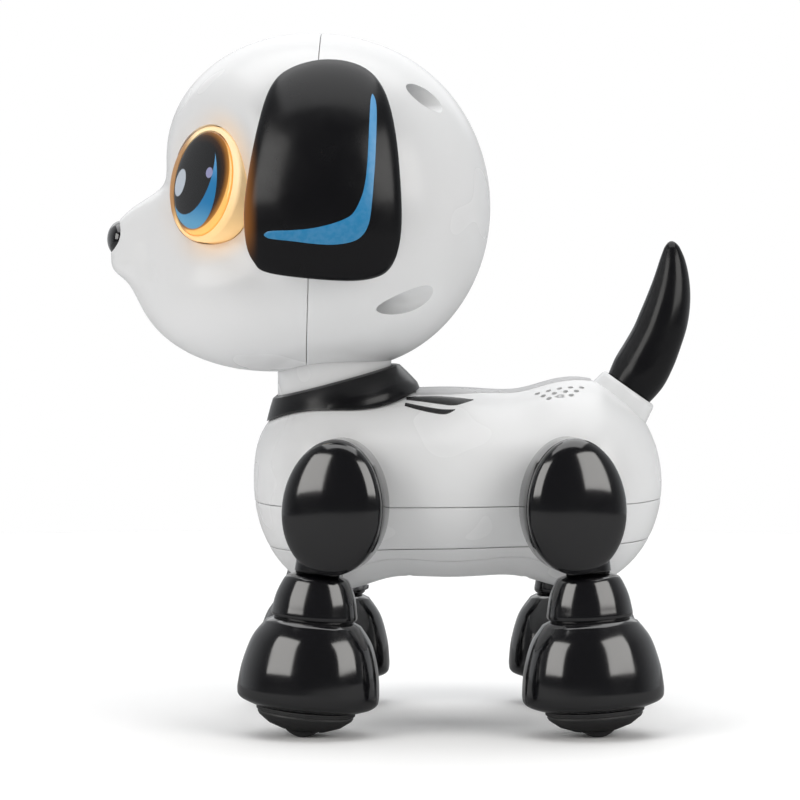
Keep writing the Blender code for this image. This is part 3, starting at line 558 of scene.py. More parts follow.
def eye_placement(side):
    direction = eye_direction(side)
    lean = math.radians(EYE_LEAN)
    return aim(HEAD_CENTRE + direction * EYE_FLOOR, direction, (math.sin(lean), 0.0, math.cos(lean)))


# The eye's print, in millimetres from the middle of the lens, across towards the ear and up:
# (across, up, half width, half height, lean in degrees).
PRINT_EDGE = (-1.3, 0.7, 10.2, 11.1, -14.0)
PUPIL = (-3.6, 2.2, 7.1, 9.7, -11.0)
CRESCENT = (-3.6, 1.3, 8.6, 12.0, 28.0)
GLINT = (-7.4, -0.9, 1.9, 3.0, -8.0)
DOT = (2.5, 2.6, 1.15, 1.15, 0.0)


def eye_material(name):
    """Printed eye under a clear gloss: dark pupil, blue crescent and two glints, with a brown to amber edge
    towards the ear that is painted light of the eye's lamp through the lens edge, glowing faintly.
    """
    paint = Paint(name)
    across, up = paint.print_place()

    def reach(shape):
        """0 in the middle of the ellipse and 1 on its edge."""
        x, y, half_x, half_y, lean = shape
        turn = math.radians(lean)
        dx = paint.math("SUBTRACT", across, x)
        dy = paint.math("SUBTRACT", up, y)
        along = paint.math("ADD", paint.times(dx, math.cos(turn) / half_x),
                           paint.times(dy, math.sin(turn) / half_x))
        high = paint.math("SUBTRACT", paint.times(dy, math.cos(turn) / half_y),
                          paint.times(dx, math.sin(turn) / half_y))
        return paint.length(along, high)

    edge = reach(PRINT_EDGE)
    brown = paint.mix(paint.ramp(edge, 0.84, 1.0), (0.05, 0.018, 0.004), (0.42, 0.17, 0.03))
    # Brown to amber edge towards the ear: painted light of the eye's lamp showing through the lens edge, put
    # into the colour and given a faint glow.
    lit_towards_ear = paint.ramp(across, -6.5, -1.5)
    lit_edge_colour = paint.mix(paint.times(paint.ramp(edge, 0.985, 1.02), lit_towards_ear), brown, (0.95, 0.55, 0.16))
    dark = paint.mix(paint.times(paint.ramp(edge, 0.7, 0.9), lit_towards_ear), (0.004, 0.004, 0.005), lit_edge_colour)
    blue = paint.mix(paint.ramp(up, -9.5, -3.0), (0.12, 0.36, 0.58), (0.01, 0.19, 0.44))
    blue = paint.mix(paint.ramp(up, 0.0, 6.5), blue, (0.12, 0.38, 0.7))
    crescent = paint.times(paint.ramp(reach(CRESCENT), 1.012, 0.988), paint.ramp(reach(PUPIL), 0.985, 1.015))
    colour = paint.mix(paint.times(crescent, paint.ramp(across, -9.5, -7.0)), dark, blue)
    colour = paint.mix(paint.ramp(reach(DOT), 1.08, 0.92), colour, (0.3, 0.3, 0.5))
    colour = paint.mix(paint.ramp(reach(GLINT), 1.06, 0.96), colour, (0.5, 0.55, 0.62))
    paint.set(Base_Color=colour, Roughness=paint.uneven(300.0, 3.0, 0.05, 0.09))
    paint.set(Coat_Weight=0.4, Coat_Roughness=0.03)
    lit = paint.times(paint.ramp(edge, 0.96, 1.06), lit_towards_ear)
    paint.set(Emission_Color=(1.0, 0.42, 0.08), Emission_Strength=paint.times(lit, 0.3))
    paint.bump(paint.noise(700.0, 2.0), 0.01, 0.00005)
    return paint.material


def halo_material():
    """Translucent amber ring, lit from behind and darker on the side towards the nose."""
    paint = Paint("eye_ring_amber")
    across, up = paint.print_place()
    rim = paint.ramp(paint.length(across, up), 11.9, 12.5)
    low_by_nose = paint.times(paint.ramp(across, 2.0, -6.0), paint.ramp(up, 2.0, -6.0))
    tint = paint.mix(paint.ramp(up, -9.0, 6.0), (1.0, 0.66, 0.3), (1.0, 0.78, 0.46))
    tint = paint.mix(paint.times(rim, low_by_nose), tint, (0.35, 0.12, 0.02))
    tint = paint.mix(paint.ramp(across, -5.5, -9.5, 0.0, 0.85), tint, (0.3, 0.12, 0.03))
    paint.set(Base_Color=tint, Roughness=paint.uneven(220.0, 3.0, 0.28, 0.36))
    paint.set(Emission_Color=tint, Emission_Strength=paint.uneven(90.0, 2.0, 0.2, 0.24))
    paint.bump(paint.noise(500.0, 2.0), 0.03, 0.00004)
    return paint.material


def ear_material():
    """Satin black moulding, with the eye ring's light caught along the front edge."""
    paint = moulded("ear_satin_black", (0.006, 0.006, 0.007), 0.24, 0.04, 0.03, 0.03, worn=(0.05, 0.05, 0.05))
    x, _, z = paint.parts()
    front = paint.ramp(x, -0.0295, -0.0325)
    band = paint.times(paint.ramp(z, 0.100, 0.110), paint.ramp(z, 0.131, 0.122))
    paint.set(Emission_Color=(1.0, 0.36, 0.06), Emission_Strength=paint.times(paint.times(front, band), 0.22))
    paint.set(Specular_IOR_Level=SATIN_SPECULAR)
    return paint.material


def stripe_material():
    paint = Paint("stripe_blue")
    _, _, z = paint.parts()
    blue = paint.mix(paint.ramp(z, 0.104, 0.137), (0.008, 0.19, 0.4), (0.08, 0.31, 0.6))
    flake = paint.times(paint.uneven(900.0, 2.0), 0.06)
    paint.set(Base_Color=paint.mix(flake, blue, (0.5, 0.7, 0.95)),
              Roughness=paint.uneven(200.0, 3.0, 0.3, 0.38))
    paint.bump(paint.noise(1500.0, 2.0), 0.03, 0.00004)
    return paint.material


def rubber_material(name):
    paint = moulded(name, (0.02, 0.02, 0.021), 0.5, 0.07, 0.05, 0.12, worn=(0.09, 0.09, 0.09))
    dust = paint.ramp(paint.noise(70.0, 4.0), 0.55, 0.75, 0.0, 0.25)
    base = paint.shader.inputs["Base Color"].links[0].from_socket
    paint.set(Base_Color=paint.mix(dust, base, (0.09, 0.088, 0.085)))
    return paint.material


def metal_material(name, colour, roughness, lines):
    """Plated or turned metal with fine drawn lines along one axis."""
    paint = Paint(name)
    streak = paint.noise(900.0, 4.0, stretch=lines)
    base = paint.mix(paint.ramp(streak, 0.3, 0.7), tuple(c * 0.86 for c in colour), colour)
    paint.set(Base_Color=base, Roughness=paint.ramp(streak, 0.3, 0.7, roughness - 0.06, roughness + 0.08))
    paint.set(Metallic=1.0)
    paint.bump(streak, 0.08, 0.00005)
    return paint.material


def board_material():
    """Green board with copper tracks showing through the lacquer."""
    paint = Paint("circuit_board_green")
    x, y, _ = paint.parts()
    waves = [paint.math("SINE", paint.times(along, 1900.0)) for along in (x, y)]
    grid_x, grid_y = (paint.math("ABSOLUTE", wave) for wave in waves)
    choice = paint.ramp(paint.noise(260.0, 0.0), 0.5, 0.52)
    track = paint.ramp(paint.mix(choice, grid_x, grid_y), 0.16, 0.08)
    base = paint.mix(track, (0.02, 0.15, 0.06), (0.06, 0.3, 0.12))
    paint.set(Base_Color=base, Roughness=paint.uneven(300.0, 3.0, 0.3, 0.45))
    paint.bump(track, 0.2, 0.00005)
    return paint.material


def cell_material():
    """Plain wrap with a copper-coloured end band."""
    paint = Paint("cell_wrap")
    x, _, _ = paint.parts()
    band = paint.ramp(paint.math("ABSOLUTE", paint.math("SUBTRACT", x, 0.012)), 0.0168, 0.0172)
    base = paint.mix(band, (0.03, 0.045, 0.08), (0.5, 0.24, 0.11))
    paint.set(Base_Color=base, Roughness=paint.uneven(240.0, 3.0, 0.22, 0.34))
    paint.bump(paint.noise(500.0, 2.0), 0.04, 0.00008)
    return paint.material


def gloss_material():
    paint = moulded("gloss_black", (0.004, 0.004, 0.005), 0.13, 0.025, 0.006, worn=(0.05, 0.05, 0.05))
    paint.set(Coat_Weight=0.6, Coat_Roughness=0.1, Specular_IOR_Level=0.8)
    return paint.material


def satin_material():
    paint = moulded("satin_black", (0.007, 0.007, 0.008), 0.22, 0.04, 0.03, 0.03, worn=(0.06, 0.06, 0.06))
    paint.set(Specular_IOR_Level=SATIN_SPECULAR)
    return paint.material


def make_materials():
    return {
        "white": white_material("shell_white"),
        "head_white": white_material("shell_white_head", True),
        "gloss": gloss_material(),
        "satin": satin_material(),
        "ear": ear_material(),
        "stripe": stripe_material(),
        "sole": rubber_material("sole_rubber"),
        "roller": rubber_material("roller_rubber"),
        "band": moulded("band_grey", (0.46, 0.46, 0.47), 0.3, 0.05, 0.04, worn=(0.6, 0.6, 0.6)).material,
        "lens": eye_material("eye_print"),
        "halo": halo_material(),
        "steel": metal_material("plated_steel", (0.62, 0.62, 0.64), 0.28, (1.0, 12.0, 12.0)),
        "nylon": moulded("natural_nylon", (0.74, 0.71, 0.6), 0.42, 0.06, 0.08, 0.06).material,
        "board": board_material(),
        "cell": cell_material(),
    }


# ---------------------------------------------------------------- head

# Places, (along, up), of the mouth's crease and of the lip that swells out in front of it.
MOUTH_TOP = np.array((-55.5, 104.6))
MOUTH_BOTTOM = np.array((-53.6, 97.2))
CREASE_DEPTH = 0.42
CREASE_SPREAD = 1.6
CREASE_START_Y = 6.0
LIP_MIDDLE = np.array((-61.2, 100.2))
LIP_SWELL = 1.25
LIP_SPREAD = 7.5


def mouth_dent(points):
    """How deep the mouth is pressed in at each point; below zero where the lip swells out."""
    flat = points[..., (0, 2)]
    span = MOUTH_BOTTOM - MOUTH_TOP
    along = np.clip(((flat - MOUTH_TOP) @ span) / (span @ span), 0.0, 1.0)
    nearest = MOUTH_TOP + along[..., None] * span
    away = ((flat - nearest) ** 2).sum(-1)
    sideways = np.clip(np.abs(points[..., 1]) / CREASE_START_Y, 0.0, 1.0)
    crease = CREASE_DEPTH * np.exp(-away / CREASE_SPREAD) * sideways
    from_lip = ((flat - LIP_MIDDLE) ** 2).sum(-1)
    return crease - LIP_SWELL * np.exp(-from_lip / LIP_SPREAD)


def head_directions(angles, around, sign, bend):
    """Directions from the seam's middle: angle 0 lies in the seam and 90 degrees points to the pole."""
    angle, turn = np.meshgrid(angles, around, indexing="ij")
    x = sign * np.sin(angle)
    y = np.cos(angle) * np.sin(turn)
    z = np.cos(angle) * np.cos(turn)
    lean = math.radians(HEAD_SEAM_TILT) + math.radians(bend) * (angle / (math.pi / 2)) ** 2
    return np.stack((x * np.cos(lean) + z * np.sin(lean), y, z * np.cos(lean) - x * np.sin(lean)), -1)


def half_shell(name, blob, origin, directions, pole, insets, dent=None):
    """Shell between the seam and a pole: directions are rings that start in the seam."""
    outer = blob.surface(origin, directions, insets[:, None])
    if dent is not None:
        outer = outer - directions * dent(outer)[..., None]
    inner = blob.surface(origin, directions[::2], WALL)[::-1]
    tip = pole[None, :]
    outer_tip = blob.surface(origin, tip, 0.0)[0]
    inner_tip = blob.surface(origin, tip, WALL)[0]
    return loft(name, list(inner) + list(outer), inner_tip, outer_tip)


def lip(count):
    """Insets of the first rings: the outer edge at a seam is slightly rounded."""
    insets = np.zeros(count)
    insets[:3] = SEAM_ROUNDING
    return insets


def shell_angles(rows):
    """Angles from the seam to near the pole, close together where the seam's edge is rounded."""
    first = np.radians((0.0, 0.12, 0.35))
    rest = np.radians(np.linspace(0.9, 88.4, rows))
    return np.concatenate((first, rest))


def head_half(name, front):
    sign = -1.0 if front else 1.0
    lean = math.radians(HEAD_SEAM_TILT)
    normal = np.array((math.cos(lean), 0.0, -math.sin(lean))) * sign
    origin = np.array((HEAD_SEAM_X, 0.0, HEAD_CENTRE[2])) + normal * SEAM_GAP / 2
    angles = shell_angles(80 if front else 60)
    bend = HEAD_FRONT_BEND if front else 0.0
    directions = head_directions(angles, turns(208), sign, bend)
    pole = head_directions(np.array((math.pi / 2,)), np.array((0.0,)), sign, bend)[0, 0]
    return half_shell(name, HEAD, origin, directions, pole, lip(len(angles)), mouth_dent if front else None)


def globe_directions(steps):
    """Rings of directions from -X to +X, without the two poles."""
    angle, turn = np.meshgrid(math.pi * np.arange(1, steps // 2) / (steps // 2), turns(steps), indexing="ij")
    return np.stack((-np.cos(angle), np.sin(angle) * np.cos(turn), np.sin(angle) * np.sin(turn)), -1)


def nose_solid(name, grow):
    radii = NOSE_RADII + grow
    tip = np.array((radii[0], 0.0, 0.0))
    rings = NOSE_CENTRE + radii * globe_directions(48)
    return loft(name, list(rings), NOSE_CENTRE - tip, NOSE_CENTRE + tip)


def ear_axis(side):
    rise = math.radians(EAR_PEG_RISE)
    return np.array((0.0, side * math.cos(rise), math.sin(rise)))


def eye_holes():
    holes = []
    for side in SIDES.values():
        hole = turned("eye_hole", ((HALO_RADIUS + 0.55, 12.0), (HALO_RADIUS + 0.55, 1.6),
                                   (HALO_RADIUS + 0.3, 1.2),
                                   (HALO_RADIUS + GAP, 0.8), (HALO_RADIUS + GAP, -12.0)), 128)
        holes.append(move(hole, eye_placement(side)))
    return holes


def peg_holes():
    return [
        rod("peg_hole", np.array((EAR_PEG_X, 0.0, HEAD_CENTRE[2])) + ear_axis(side) * 20.0, ear_axis(side),
            EAR_PEG_RADIUS + PIN_ROOM, 30.0)
        for side in SIDES.values()
    ]


def neck_hole():
    return rod("neck_hole", (NECK_X, 0.0, 60.0), (0.0, 0.0, 1.0), NECK_RADIUS + PIN_ROOM, 28.0, 128)


def blob_solid(name, blob, centre, inset, steps=96):
    ends = blob.surface(centre, np.array(((-1.0, 0.0, 0.0), (1.0, 0.0, 0.0))), inset)
    return loft(name, list(blob.surface(centre, globe_directions(steps), inset)), ends[0], ends[1])


def screw_piece(name, radius, height, shank_radius, shank, body, placement, material, nodes):
    """Pan-head screw with a cross recess."""
    head = turned(name, (
        (0.0, -shank), (shank_radius * 0.5, -shank), (shank_radius, -shank + 0.6), (shank_radius, -0.05),
        (radius, 0.0), (radius, height * 0.45), (radius * 0.93, height * 0.75), (radius * 0.7, height * 0.95),
        (0.0, height),
    ), 64)
    depth = height * 0.35
    arm = radius * 0.62
    width = radius * 0.12
    cross = block("cross", (-arm, -width, depth), (arm, width, height + 1.0))
    combine(cross, block("arm", (-width * 1.01, -arm, depth * 1.01), (width * 1.01, arm, height + 1.01)),
            "UNION")
    combine(head, cross)
    dress(move(head, placement), body, material, nodes)


def build_head(paints):
    front = head_half("face_shell", True)
    combine(front, joined("front_tools", eye_holes()))
    combine(front, neck_hole())
    combine(front, joined("pegs", peg_holes()))
    combine(front, nose_solid("nose_pocket", GAP))
    dress(front, "head", paints["head_white"], ["head_front_shell"])
    rear = head_half("back_of_head_shell", False)
    places = [
        (f"{row}_{name}", side * y, z) for name, side in SIDES.items() for row, y, z in SCREW_PLACES
    ]
    bosses = joined("bosses", [
        rod("boss", (SCREW_FLOOR_X - 2.5, y, z), (1.0, 0.0, 0.0), 4.5, 36.0) for _, y, z in places
    ])
    combine(bosses, blob_solid("clip", HEAD, HEAD_CENTRE, WALL / 2), "INTERSECT")
    combine(rear, bosses, "UNION")
    wells = [
        move(turned("well", ((1.5, -9.0), (1.5, 0.0), (3.1, 0.01), (3.1, 50.0)), 64),
             aim((SCREW_FLOOR_X, y, z), (1.0, 0.0, 0.0)))
        for _, y, z in places
    ]
    for well in wells:
        combine(rear, well)
    combine(rear, neck_hole())
    combine(rear, joined("pegs", peg_holes()))
    dress(rear, "head", paints["white"], ["head_rear_shell"])
    for name, y, z in places:
        screw_piece("head_screw_seen_" + name, 2.5, 1.9, 1.1, 6.5, "head",
                    aim((SCREW_FLOOR_X + GAP, y, z), (1.0, 0.0, 0.0)), paints["steel"],
                    ["head_screw_" + name])
    dress(nose_solid("nose_cap", 0.0), "head", paints["gloss"], ["nose"])
    for name, side in SIDES.items():
        build_eye(name, side, paints)


def print_map(thing, mirrored):
    """Where each corner lies on the eye, in millimetres from its middle; the two eyes are mirrored."""
    layer = thing.data.uv_layers.new(name="print")
    for loop in thing.data.loops:
        place = thing.data.vertices[loop.vertex_index].co / MM
        layer.data[loop.index].uv = (-place.x if mirrored else place.x, place.y)


def build_eye(name, side, paints):
    placement = eye_placement(side)
    half_x, half_y = LENS_RADII
    dome = [(math.cos(t), LENS_RIM + LENS_CROWN * math.sin(t)) for t in np.linspace(0.0, 1.45, 14)]
    levels = [(0.98, -1.6), (1.0, -1.5), (1.0, 0.9), *dome]
    rings = [oval(half_x * share, half_y * share, height, 128) for share, height in levels]
    lens = loft("eye_print_" + name, rings, None, (0.0, 0.0, LENS_RIM + LENS_CROWN))
    print_map(lens, side > 0)
    dress(move(lens, placement), "head", paints["lens"], ["eye_lens_" + name])
    halo = turned("eye_ring_" + name, (
        (HALO_RADIUS - 0.6, -4.5), (HALO_RADIUS, -4.0), (HALO_RADIUS, 0.35), (HALO_RADIUS - 0.12, 0.62),
        (HALO_RADIUS - 0.45, 0.9), (HALO_RADIUS - 0.9, 1.08),
    ), 128)
    combine(halo, loft("pocket", [oval(half_x + GAP, half_y + GAP, height, 128) for height in (-2.0, 4.0)]))
    print_map(halo, side > 0)
    dress(move(halo, placement), "head", paints["halo"], ["eye_halo_" + name])


# ---------------------------------------------------------------- ears

EAR_CURVE = smooth_outline(EAR_OUTLINE, 10)
# The solid model takes the mean of its own, coarser outline as the ear's middle.
EAR_MIDDLE = smooth_outline(EAR_OUTLINE, 2).mean(0)


def ear_point(flat, radius, side):
    radius = np.broadcast_to(radius, flat.shape[:-1])
    depth = np.sqrt(radius ** 2 - flat[..., 0] ** 2 - flat[..., 1] ** 2)
    return HEAD_CENTRE + np.stack((flat[..., 0], side * depth, flat[..., 1]), -1)


def crown(share):
    return EAR_RIM + (EAR_CROWN - EAR_RIM) * np.sqrt(np.clip(1.0 - share ** 4, 0.0, 1.0))


def ear_share(flat):
    """0 at the ear's middle and 1 on its outline."""
    curve = EAR_CURVE - EAR_MIDDLE
    angles = np.arctan2(curve[:, 1], curve[:, 0])
    order = np.argsort(angles)
    angles, lengths = angles[order], np.hypot(curve[:, 0], curve[:, 1])[order]
    away = flat - EAR_MIDDLE
    turn = np.arctan2(away[..., 1], away[..., 0])
    return np.hypot(away[..., 0], away[..., 1]) / np.interp(turn, angles, lengths, period=2 * math.pi)


def ear_loft(name, side, levels):
    rings = [
        ear_point(EAR_MIDDLE + share * (EAR_CURVE - EAR_MIDDLE), radius, side) for share, radius in levels
    ]
    ends = ear_point(np.array((EAR_MIDDLE, EAR_MIDDLE)), np.array((levels[0][1], levels[-1][1])), side)
    return loft(name, rings, ends[0], ends[1])


def build_ear(name, side, paints):
    low = EAR_PARTING + 2 * GAP
    dome = [(float(s), float(crown(s))) for s in 1.0 - np.linspace(0.0, 1.0, 20)[1:-1] ** 2.2]
    outer = ear_loft("ear_flap_" + name, side, [
        (0.5, low), (0.96, low), (0.985, low + 0.06), (1.0, low + 0.3), (1.0, EAR_RIM),
        (0.9995, EAR_RIM + 0.07),
        *dome,
    ])
    dress(outer, "ear_" + name, paints["ear"], [f"ear_{name}_outer"])
    inner = ear_loft("ear_backing_" + name, side, [
        (0.5, EAR_INNER), (0.88, EAR_INNER), (0.94, EAR_INNER + 0.2), (0.97, EAR_INNER + 0.6),
        (0.97, EAR_PARTING - 0.1), (0.962, EAR_PARTING), (0.5, EAR_PARTING),
    ])
    peg_start = np.array((EAR_PEG_X, 0.0, HEAD_CENTRE[2])) + ear_axis(side) * 31.0
    combine(inner, rod("peg", peg_start, ear_axis(side), EAR_PEG_RADIUS, 9.2), "UNION")
    dress(inner, "ear_" + name, paints["ear"], [f"ear_{name}_inner"])
    outer_edge = smooth_outline(STRIPE_OUTER, 8, False)
    inner_edge = smooth_outline(STRIPE_INNER, 8, False)
    stripe = ribbon("ear_stripe_" + name, outer_edge, inner_edge,
                    lambda flat, rise: ear_point(flat, crown(ear_share(flat)) + rise, side))
    dress(stripe, "ear_" + name, paints["stripe"])


def ribbon(name, first_edge, second_edge, surface, height=0.09, depth=0.05, across=9):
    """Thin inlay between two edge curves, laid on a surface that is a function of flat place and rise."""
    shares = np.linspace(0.0, 1.0, across)
    rings = []
    for a, b in zip(first_edge, second_edge):
        flat = a + shares[:, None] * (b - a)
        rise = height * np.clip(np.minimum(shares, 1.0 - shares) * 6.0, 0.25, 1.0)
        rings.append(np.concatenate((surface(flat, rise), surface(flat[::-1], np.full(across, -depth)))))
    return loft(name, rings)


# ---------------------------------------------------------------- body

def seam_height(seam, x):
    return seam[0] + x * math.tan(math.radians(seam[1]))


def body_directions(angles, around, sign, tilt):
    """Directions from the body's middle, spread as evenly over its long shape as over a ball."""
    angle, turn = np.meshgrid(angles, around, indexing="ij")
    half_x, half_y, half_z = BODY_SPREAD
    flat = unit(np.stack((half_x * np.cos(angle) * np.cos(turn), half_y * np.cos(angle) * np.sin(turn),
                          sign * half_z * np.sin(angle)), -1))
    lean = math.radians(tilt)
    x, y, z = flat[..., 0], flat[..., 1], flat[..., 2]
    return np.stack((x * math.cos(lean) - z * math.sin(lean), y, z * math.cos(lean) + x * math.sin(lean)), -1)


def body_half(name, upper):
    seam = UPPER_SEAM if upper else LOWER_SEAM
    sign = 1.0 if upper else -1.0
    origin = np.array((BODY_CENTRE[0], 0.0, seam_height(seam, BODY_CENTRE[0]) + sign * SEAM_GAP / 2))
    angles = shell_angles(70 if upper else 44)
    directions = body_directions(angles, turns(BODY_STEPS), sign, seam[1])
    pole = body_directions(np.array((math.pi / 2,)), np.array((0.0,)), sign, seam[1])[0, 0]
    return half_shell(name, BODY, origin, directions, pole, lip(len(angles)))


def body_middle(name):
    """Band of shell between the two seams."""
    rows = 16
    flat = unit(oval(BODY_SPREAD[0], BODY_SPREAD[1], 0.0, BODY_STEPS))
    nothing = np.zeros(BODY_STEPS)
    low, high = LOWER_SEAM[0] + SEAM_GAP / 2, UPPER_SEAM[0] - SEAM_GAP / 2
    shares = np.concatenate(((0.0, 0.02, 0.05), np.linspace(0.12, 0.88, rows), (0.95, 0.98, 1.0)))
    rims = np.array(SEAM_ROUNDING)
    insets = np.concatenate((rims, np.zeros(rows), rims[::-1]))
    outer, inner = [], []
    for share, inset in zip(shares, insets):
        tilt = LOWER_SEAM[1] + share * (UPPER_SEAM[1] - LOWER_SEAM[1])
        height = low + share * (high - low)
        slope = math.tan(math.radians(tilt))
        directions = unit(flat + np.stack((nothing, nothing, flat[:, 0] * slope), -1))
        origin = np.array((BODY_CENTRE[0], 0.0, height + BODY_CENTRE[0] * slope))
        outer.append(BODY.surface(origin, directions, inset))
        inner.append(BODY.surface(origin, directions, WALL))
    sections = np.concatenate((np.stack(outer), np.stack(inner)[::-1])).transpose(1, 0, 2)
    return tube(name, sections)


def top_surface(flat, rise):
    """Points over (x, y) places on the back, raised by a height."""
    origins = np.stack((flat[..., 0], flat[..., 1], np.full(flat.shape[:-1], BODY_CENTRE[2])), -1)
    up = np.broadcast_to(np.array((0.0, 0.0, 1.0)), origins.shape)
    points = BODY.surface(origins, up, 0.0)
    points[..., 2] += rise
    return points


def hip_placement(end, side_name):
    side = SIDES[side_name]
    towards_end = -1.0 if end == "front" else 1.0
    yaw = math.radians(HIP_YAW)
    outward = Vector((towards_end * math.sin(yaw), side * math.cos(yaw), 0.0))
    along = Vector((0.0, 0.0, 1.0)).cross(outward)
    if along.x * towards_end < 0:
        along = -along
    swing = math.radians((SWING_FRONT if end == "front" else SWING_REAR)[side_name])
    up = Vector((0.0, 0.0, math.cos(swing))) - along * math.sin(swing)
    hip_x = HIP_FRONT_X if end == "front" else HIP_REAR_X
    height = (HIP_HEIGHT - ROLLER_RADIUS) * math.cos(swing) - FOOT_SHIFT * math.sin(swing) + ROLLER_RADIUS
    matrix = Matrix((outward.cross(up), outward, up)).transposed().to_4x4()
    matrix.translation = Vector((hip_x, side * HIP_SIDE, height))
    return matrix


def foot_shift(end, side_name):
    """Shift of the foot along the leg's own first axis, which points backwards on half of the legs."""
    forwards = (end == "front") == (side_name == "left")
    return FOOT_SHIFT if forwards else -FOOT_SHIFT


def hip_bores():
    bores = []
    for end in ("front", "rear"):
        for side_name in SIDES:
            radius = HIP_SHAFT_RADIUS + PIN_ROOM
            bore = turned("hip_bore", ((radius, -12.0), (radius, 6.0)), 48)
            bores.append(move(bore, hip_placement(end, side_name) @ aim((0.0, 0.0, 0.0), (0.0, 1.0, 0.0))))
    return joined("hip_bores", bores)


def tail_placement():
    lean = math.radians(TAIL_LEAN)
    return aim(TAIL_BASE, (math.sin(lean), 0.0, math.cos(lean)), (0.0, 1.0, 0.0))


SPEAKER_ROWS = ((6.1, 5, 0.0), (8.1, 4, 1.2), (9.9, 3, 2.4))
SPEAKER_PITCH = 2.4
SPEAKER_X = 30.0
SPEAKER_HOLE = 0.62
SPEAKER_LEAN = 0.25


def speaker_holes():
    """Three short rows of sound holes on each side of the band."""
    holes = []
    for side in SIDES.values():
        for y, count, start in SPEAKER_ROWS:
            for i in range(count):
                x = SPEAKER_X + start + i * SPEAKER_PITCH
                lean = (0.0, side * SPEAKER_LEAN, 1.0)
                holes.append(rod("sound_hole", (x, side * y, 62.0), lean, SPEAKER_HOLE, 20.0, 20))
    return joined("sound_holes", holes)


def door_block(name, grow):
    half = DOOR_HALF_X + grow
    return block(name, (DOOR_MIDDLE_X - half, -DOOR_HALF_Y - grow, 0.0),
                 (DOOR_MIDDLE_X + half, DOOR_HALF_Y + grow, 60.0))


def underside(x):
    return float(BODY.surface(np.array((x, 0.0, BODY_CENTRE[2])), np.array(((0.0, 0.0, -1.0),)), 0.0)[0, 2])


def build_body(paints):
    back = body_half("back_cover", True)
    tail_lip = turned("tail_lip", ((7.3, -4.5), (7.6, -3.9), (6.9, 0.2), (6.75, 0.8), (6.5, 1.1),
                                   (6.2, 1.2)), 96)
    combine(back, move(tail_lip, tail_placement()), "UNION")
    seat = turned("tail_seat", ((5.9, -0.4), (5.95, 0.7), (6.35, 1.3), (6.35, 6.0)), 96)
    combine(back, move(seat, tail_placement()))
    stub_room = TAIL_STUB_RADIUS + PIN_ROOM
    combine(back, move(turned("stub_hole", ((stub_room, -12.0), (stub_room, 2.0)), 48), tail_placement()))
    combine(back, rod("neck_hole", (NECK_X, 0.0, NECK_BOTTOM - 1.0), (0.0, 0.0, 1.0), NECK_RADIUS + GAP,
                      20.0, 96))
    combine(back, speaker_holes())
    combine(back, hip_bores())
    dress(back, "torso", paints["white"], ["back_shell"])
    middle = combine(body_middle("middle_band"), hip_bores())
    dress(middle, "torso", paints["white"], ["middle_shell"])
    belly = body_half("belly_cover", False)
    door = add_object("battery_hatch", belly.data.copy())
    combine(door, door_block("door_area", 0.0), "INTERSECT")
    combine(belly, door_block("door_opening", GAP))
    combine(belly, block("switch_slot", (SWITCH_X - 1.6, -3.4, 20.0), (SWITCH_X + 1.6, 3.4, 45.0)))
    skin = underside(DOOR_SCREW_X)
    room = turned("screw_room", ((2.8, -9.0), (2.8, 0.7), (1.5, 0.75), (1.5, 9.0)), 48)
    combine(door, move(room, Matrix.Translation((DOOR_SCREW_X, 0.0, skin))))
    for x in DOOR_GROOVES:
        combine(door, rod("groove", (x, -30.0, underside(x) - 0.45), (0.0, 1.0, 0.0), 1.0, 60.0, 40))
    dress(belly, "torso", paints["white"], ["belly_shell"])
    dress(door, "battery_door", paints["white"], ["battery_door"])
    screw_place = aim((DOOR_SCREW_X, 0.0, skin + 0.3), (0.0, 0.0, -1.0), (1.0, 0.0, 0.0))
    screw_piece("door_screw_seen", 2.4, 1.1, 1.1, 6.0, "battery_door", screw_place, paints["steel"],
                ["door_screw"])
    build_switch(paints)


def build_switch(paints):
    skin = underside(SWITCH_X)
    inside = skin + WALL + SWITCH_INSIDE
    knob = block("switch_knob", (SWITCH_X - 1.3, -3.0, skin - 1.0), (SWITCH_X + 1.3, 0.0, inside + 0.6))
    combine(knob, block("flange", (SWITCH_X - 2.3, -4.4, inside), (SWITCH_X + 2.3, 1.4, inside + 1.2)),
            "UNION")
    grips = [
        rod("grip", (SWITCH_X - 3.0, y, skin - 1.1), (1.0, 0.0, 0.0), 0.22, 6.0, 16)
        for y in (-2.4, -1.8, -1.2, -0.6)
    ]
    combine(knob, joined("grips", grips))
    dress(knob, "power_switch", paints["satin"], ["power_switch"])


def build_neck(paints):
    neck = turned_ring("neck_tube", (
        (NECK_BORE, NECK_BOTTOM), (NECK_RADIUS - 0.3, NECK_BOTTOM), (NECK_RADIUS, NECK_BOTTOM + 0.3),
        (NECK_RADIUS, 75.0), (NECK_RADIUS, NECK_TOP - 1.7), (NECK_RADIUS + 1.2, NECK_TOP - 1.2),
        (NECK_RADIUS + 1.4, NECK_TOP - 1.0), (NECK_RADIUS + 1.4, NECK_TOP - 0.15),
        (NECK_RADIUS + 1.25, NECK_TOP), (NECK_BORE, NECK_TOP),
    ), 128)
    dress(move(neck, Matrix.Translation((NECK_X, 0.0, 0.0))), "torso", paints["white"],
          ["neck"])
    collar = turned("collar_ring", COLLAR_PROFILE, 160)
    tilt = Matrix.Rotation(math.radians(-COLLAR_TILT), 4, "Y")
    move(collar, Matrix.Translation(COLLAR_CENTRE) @ tilt)
    combine(collar, blob_solid("body_room", BODY, BODY_CENTRE, -GAP, 160))
    combine(collar, rod("neck_room", (NECK_X, 0.0, 50.0), (0.0, 0.0, 1.0), NECK_RADIUS + GAP, 50.0, 160))
    dress(collar, "torso", paints["satin"], ["collar"])


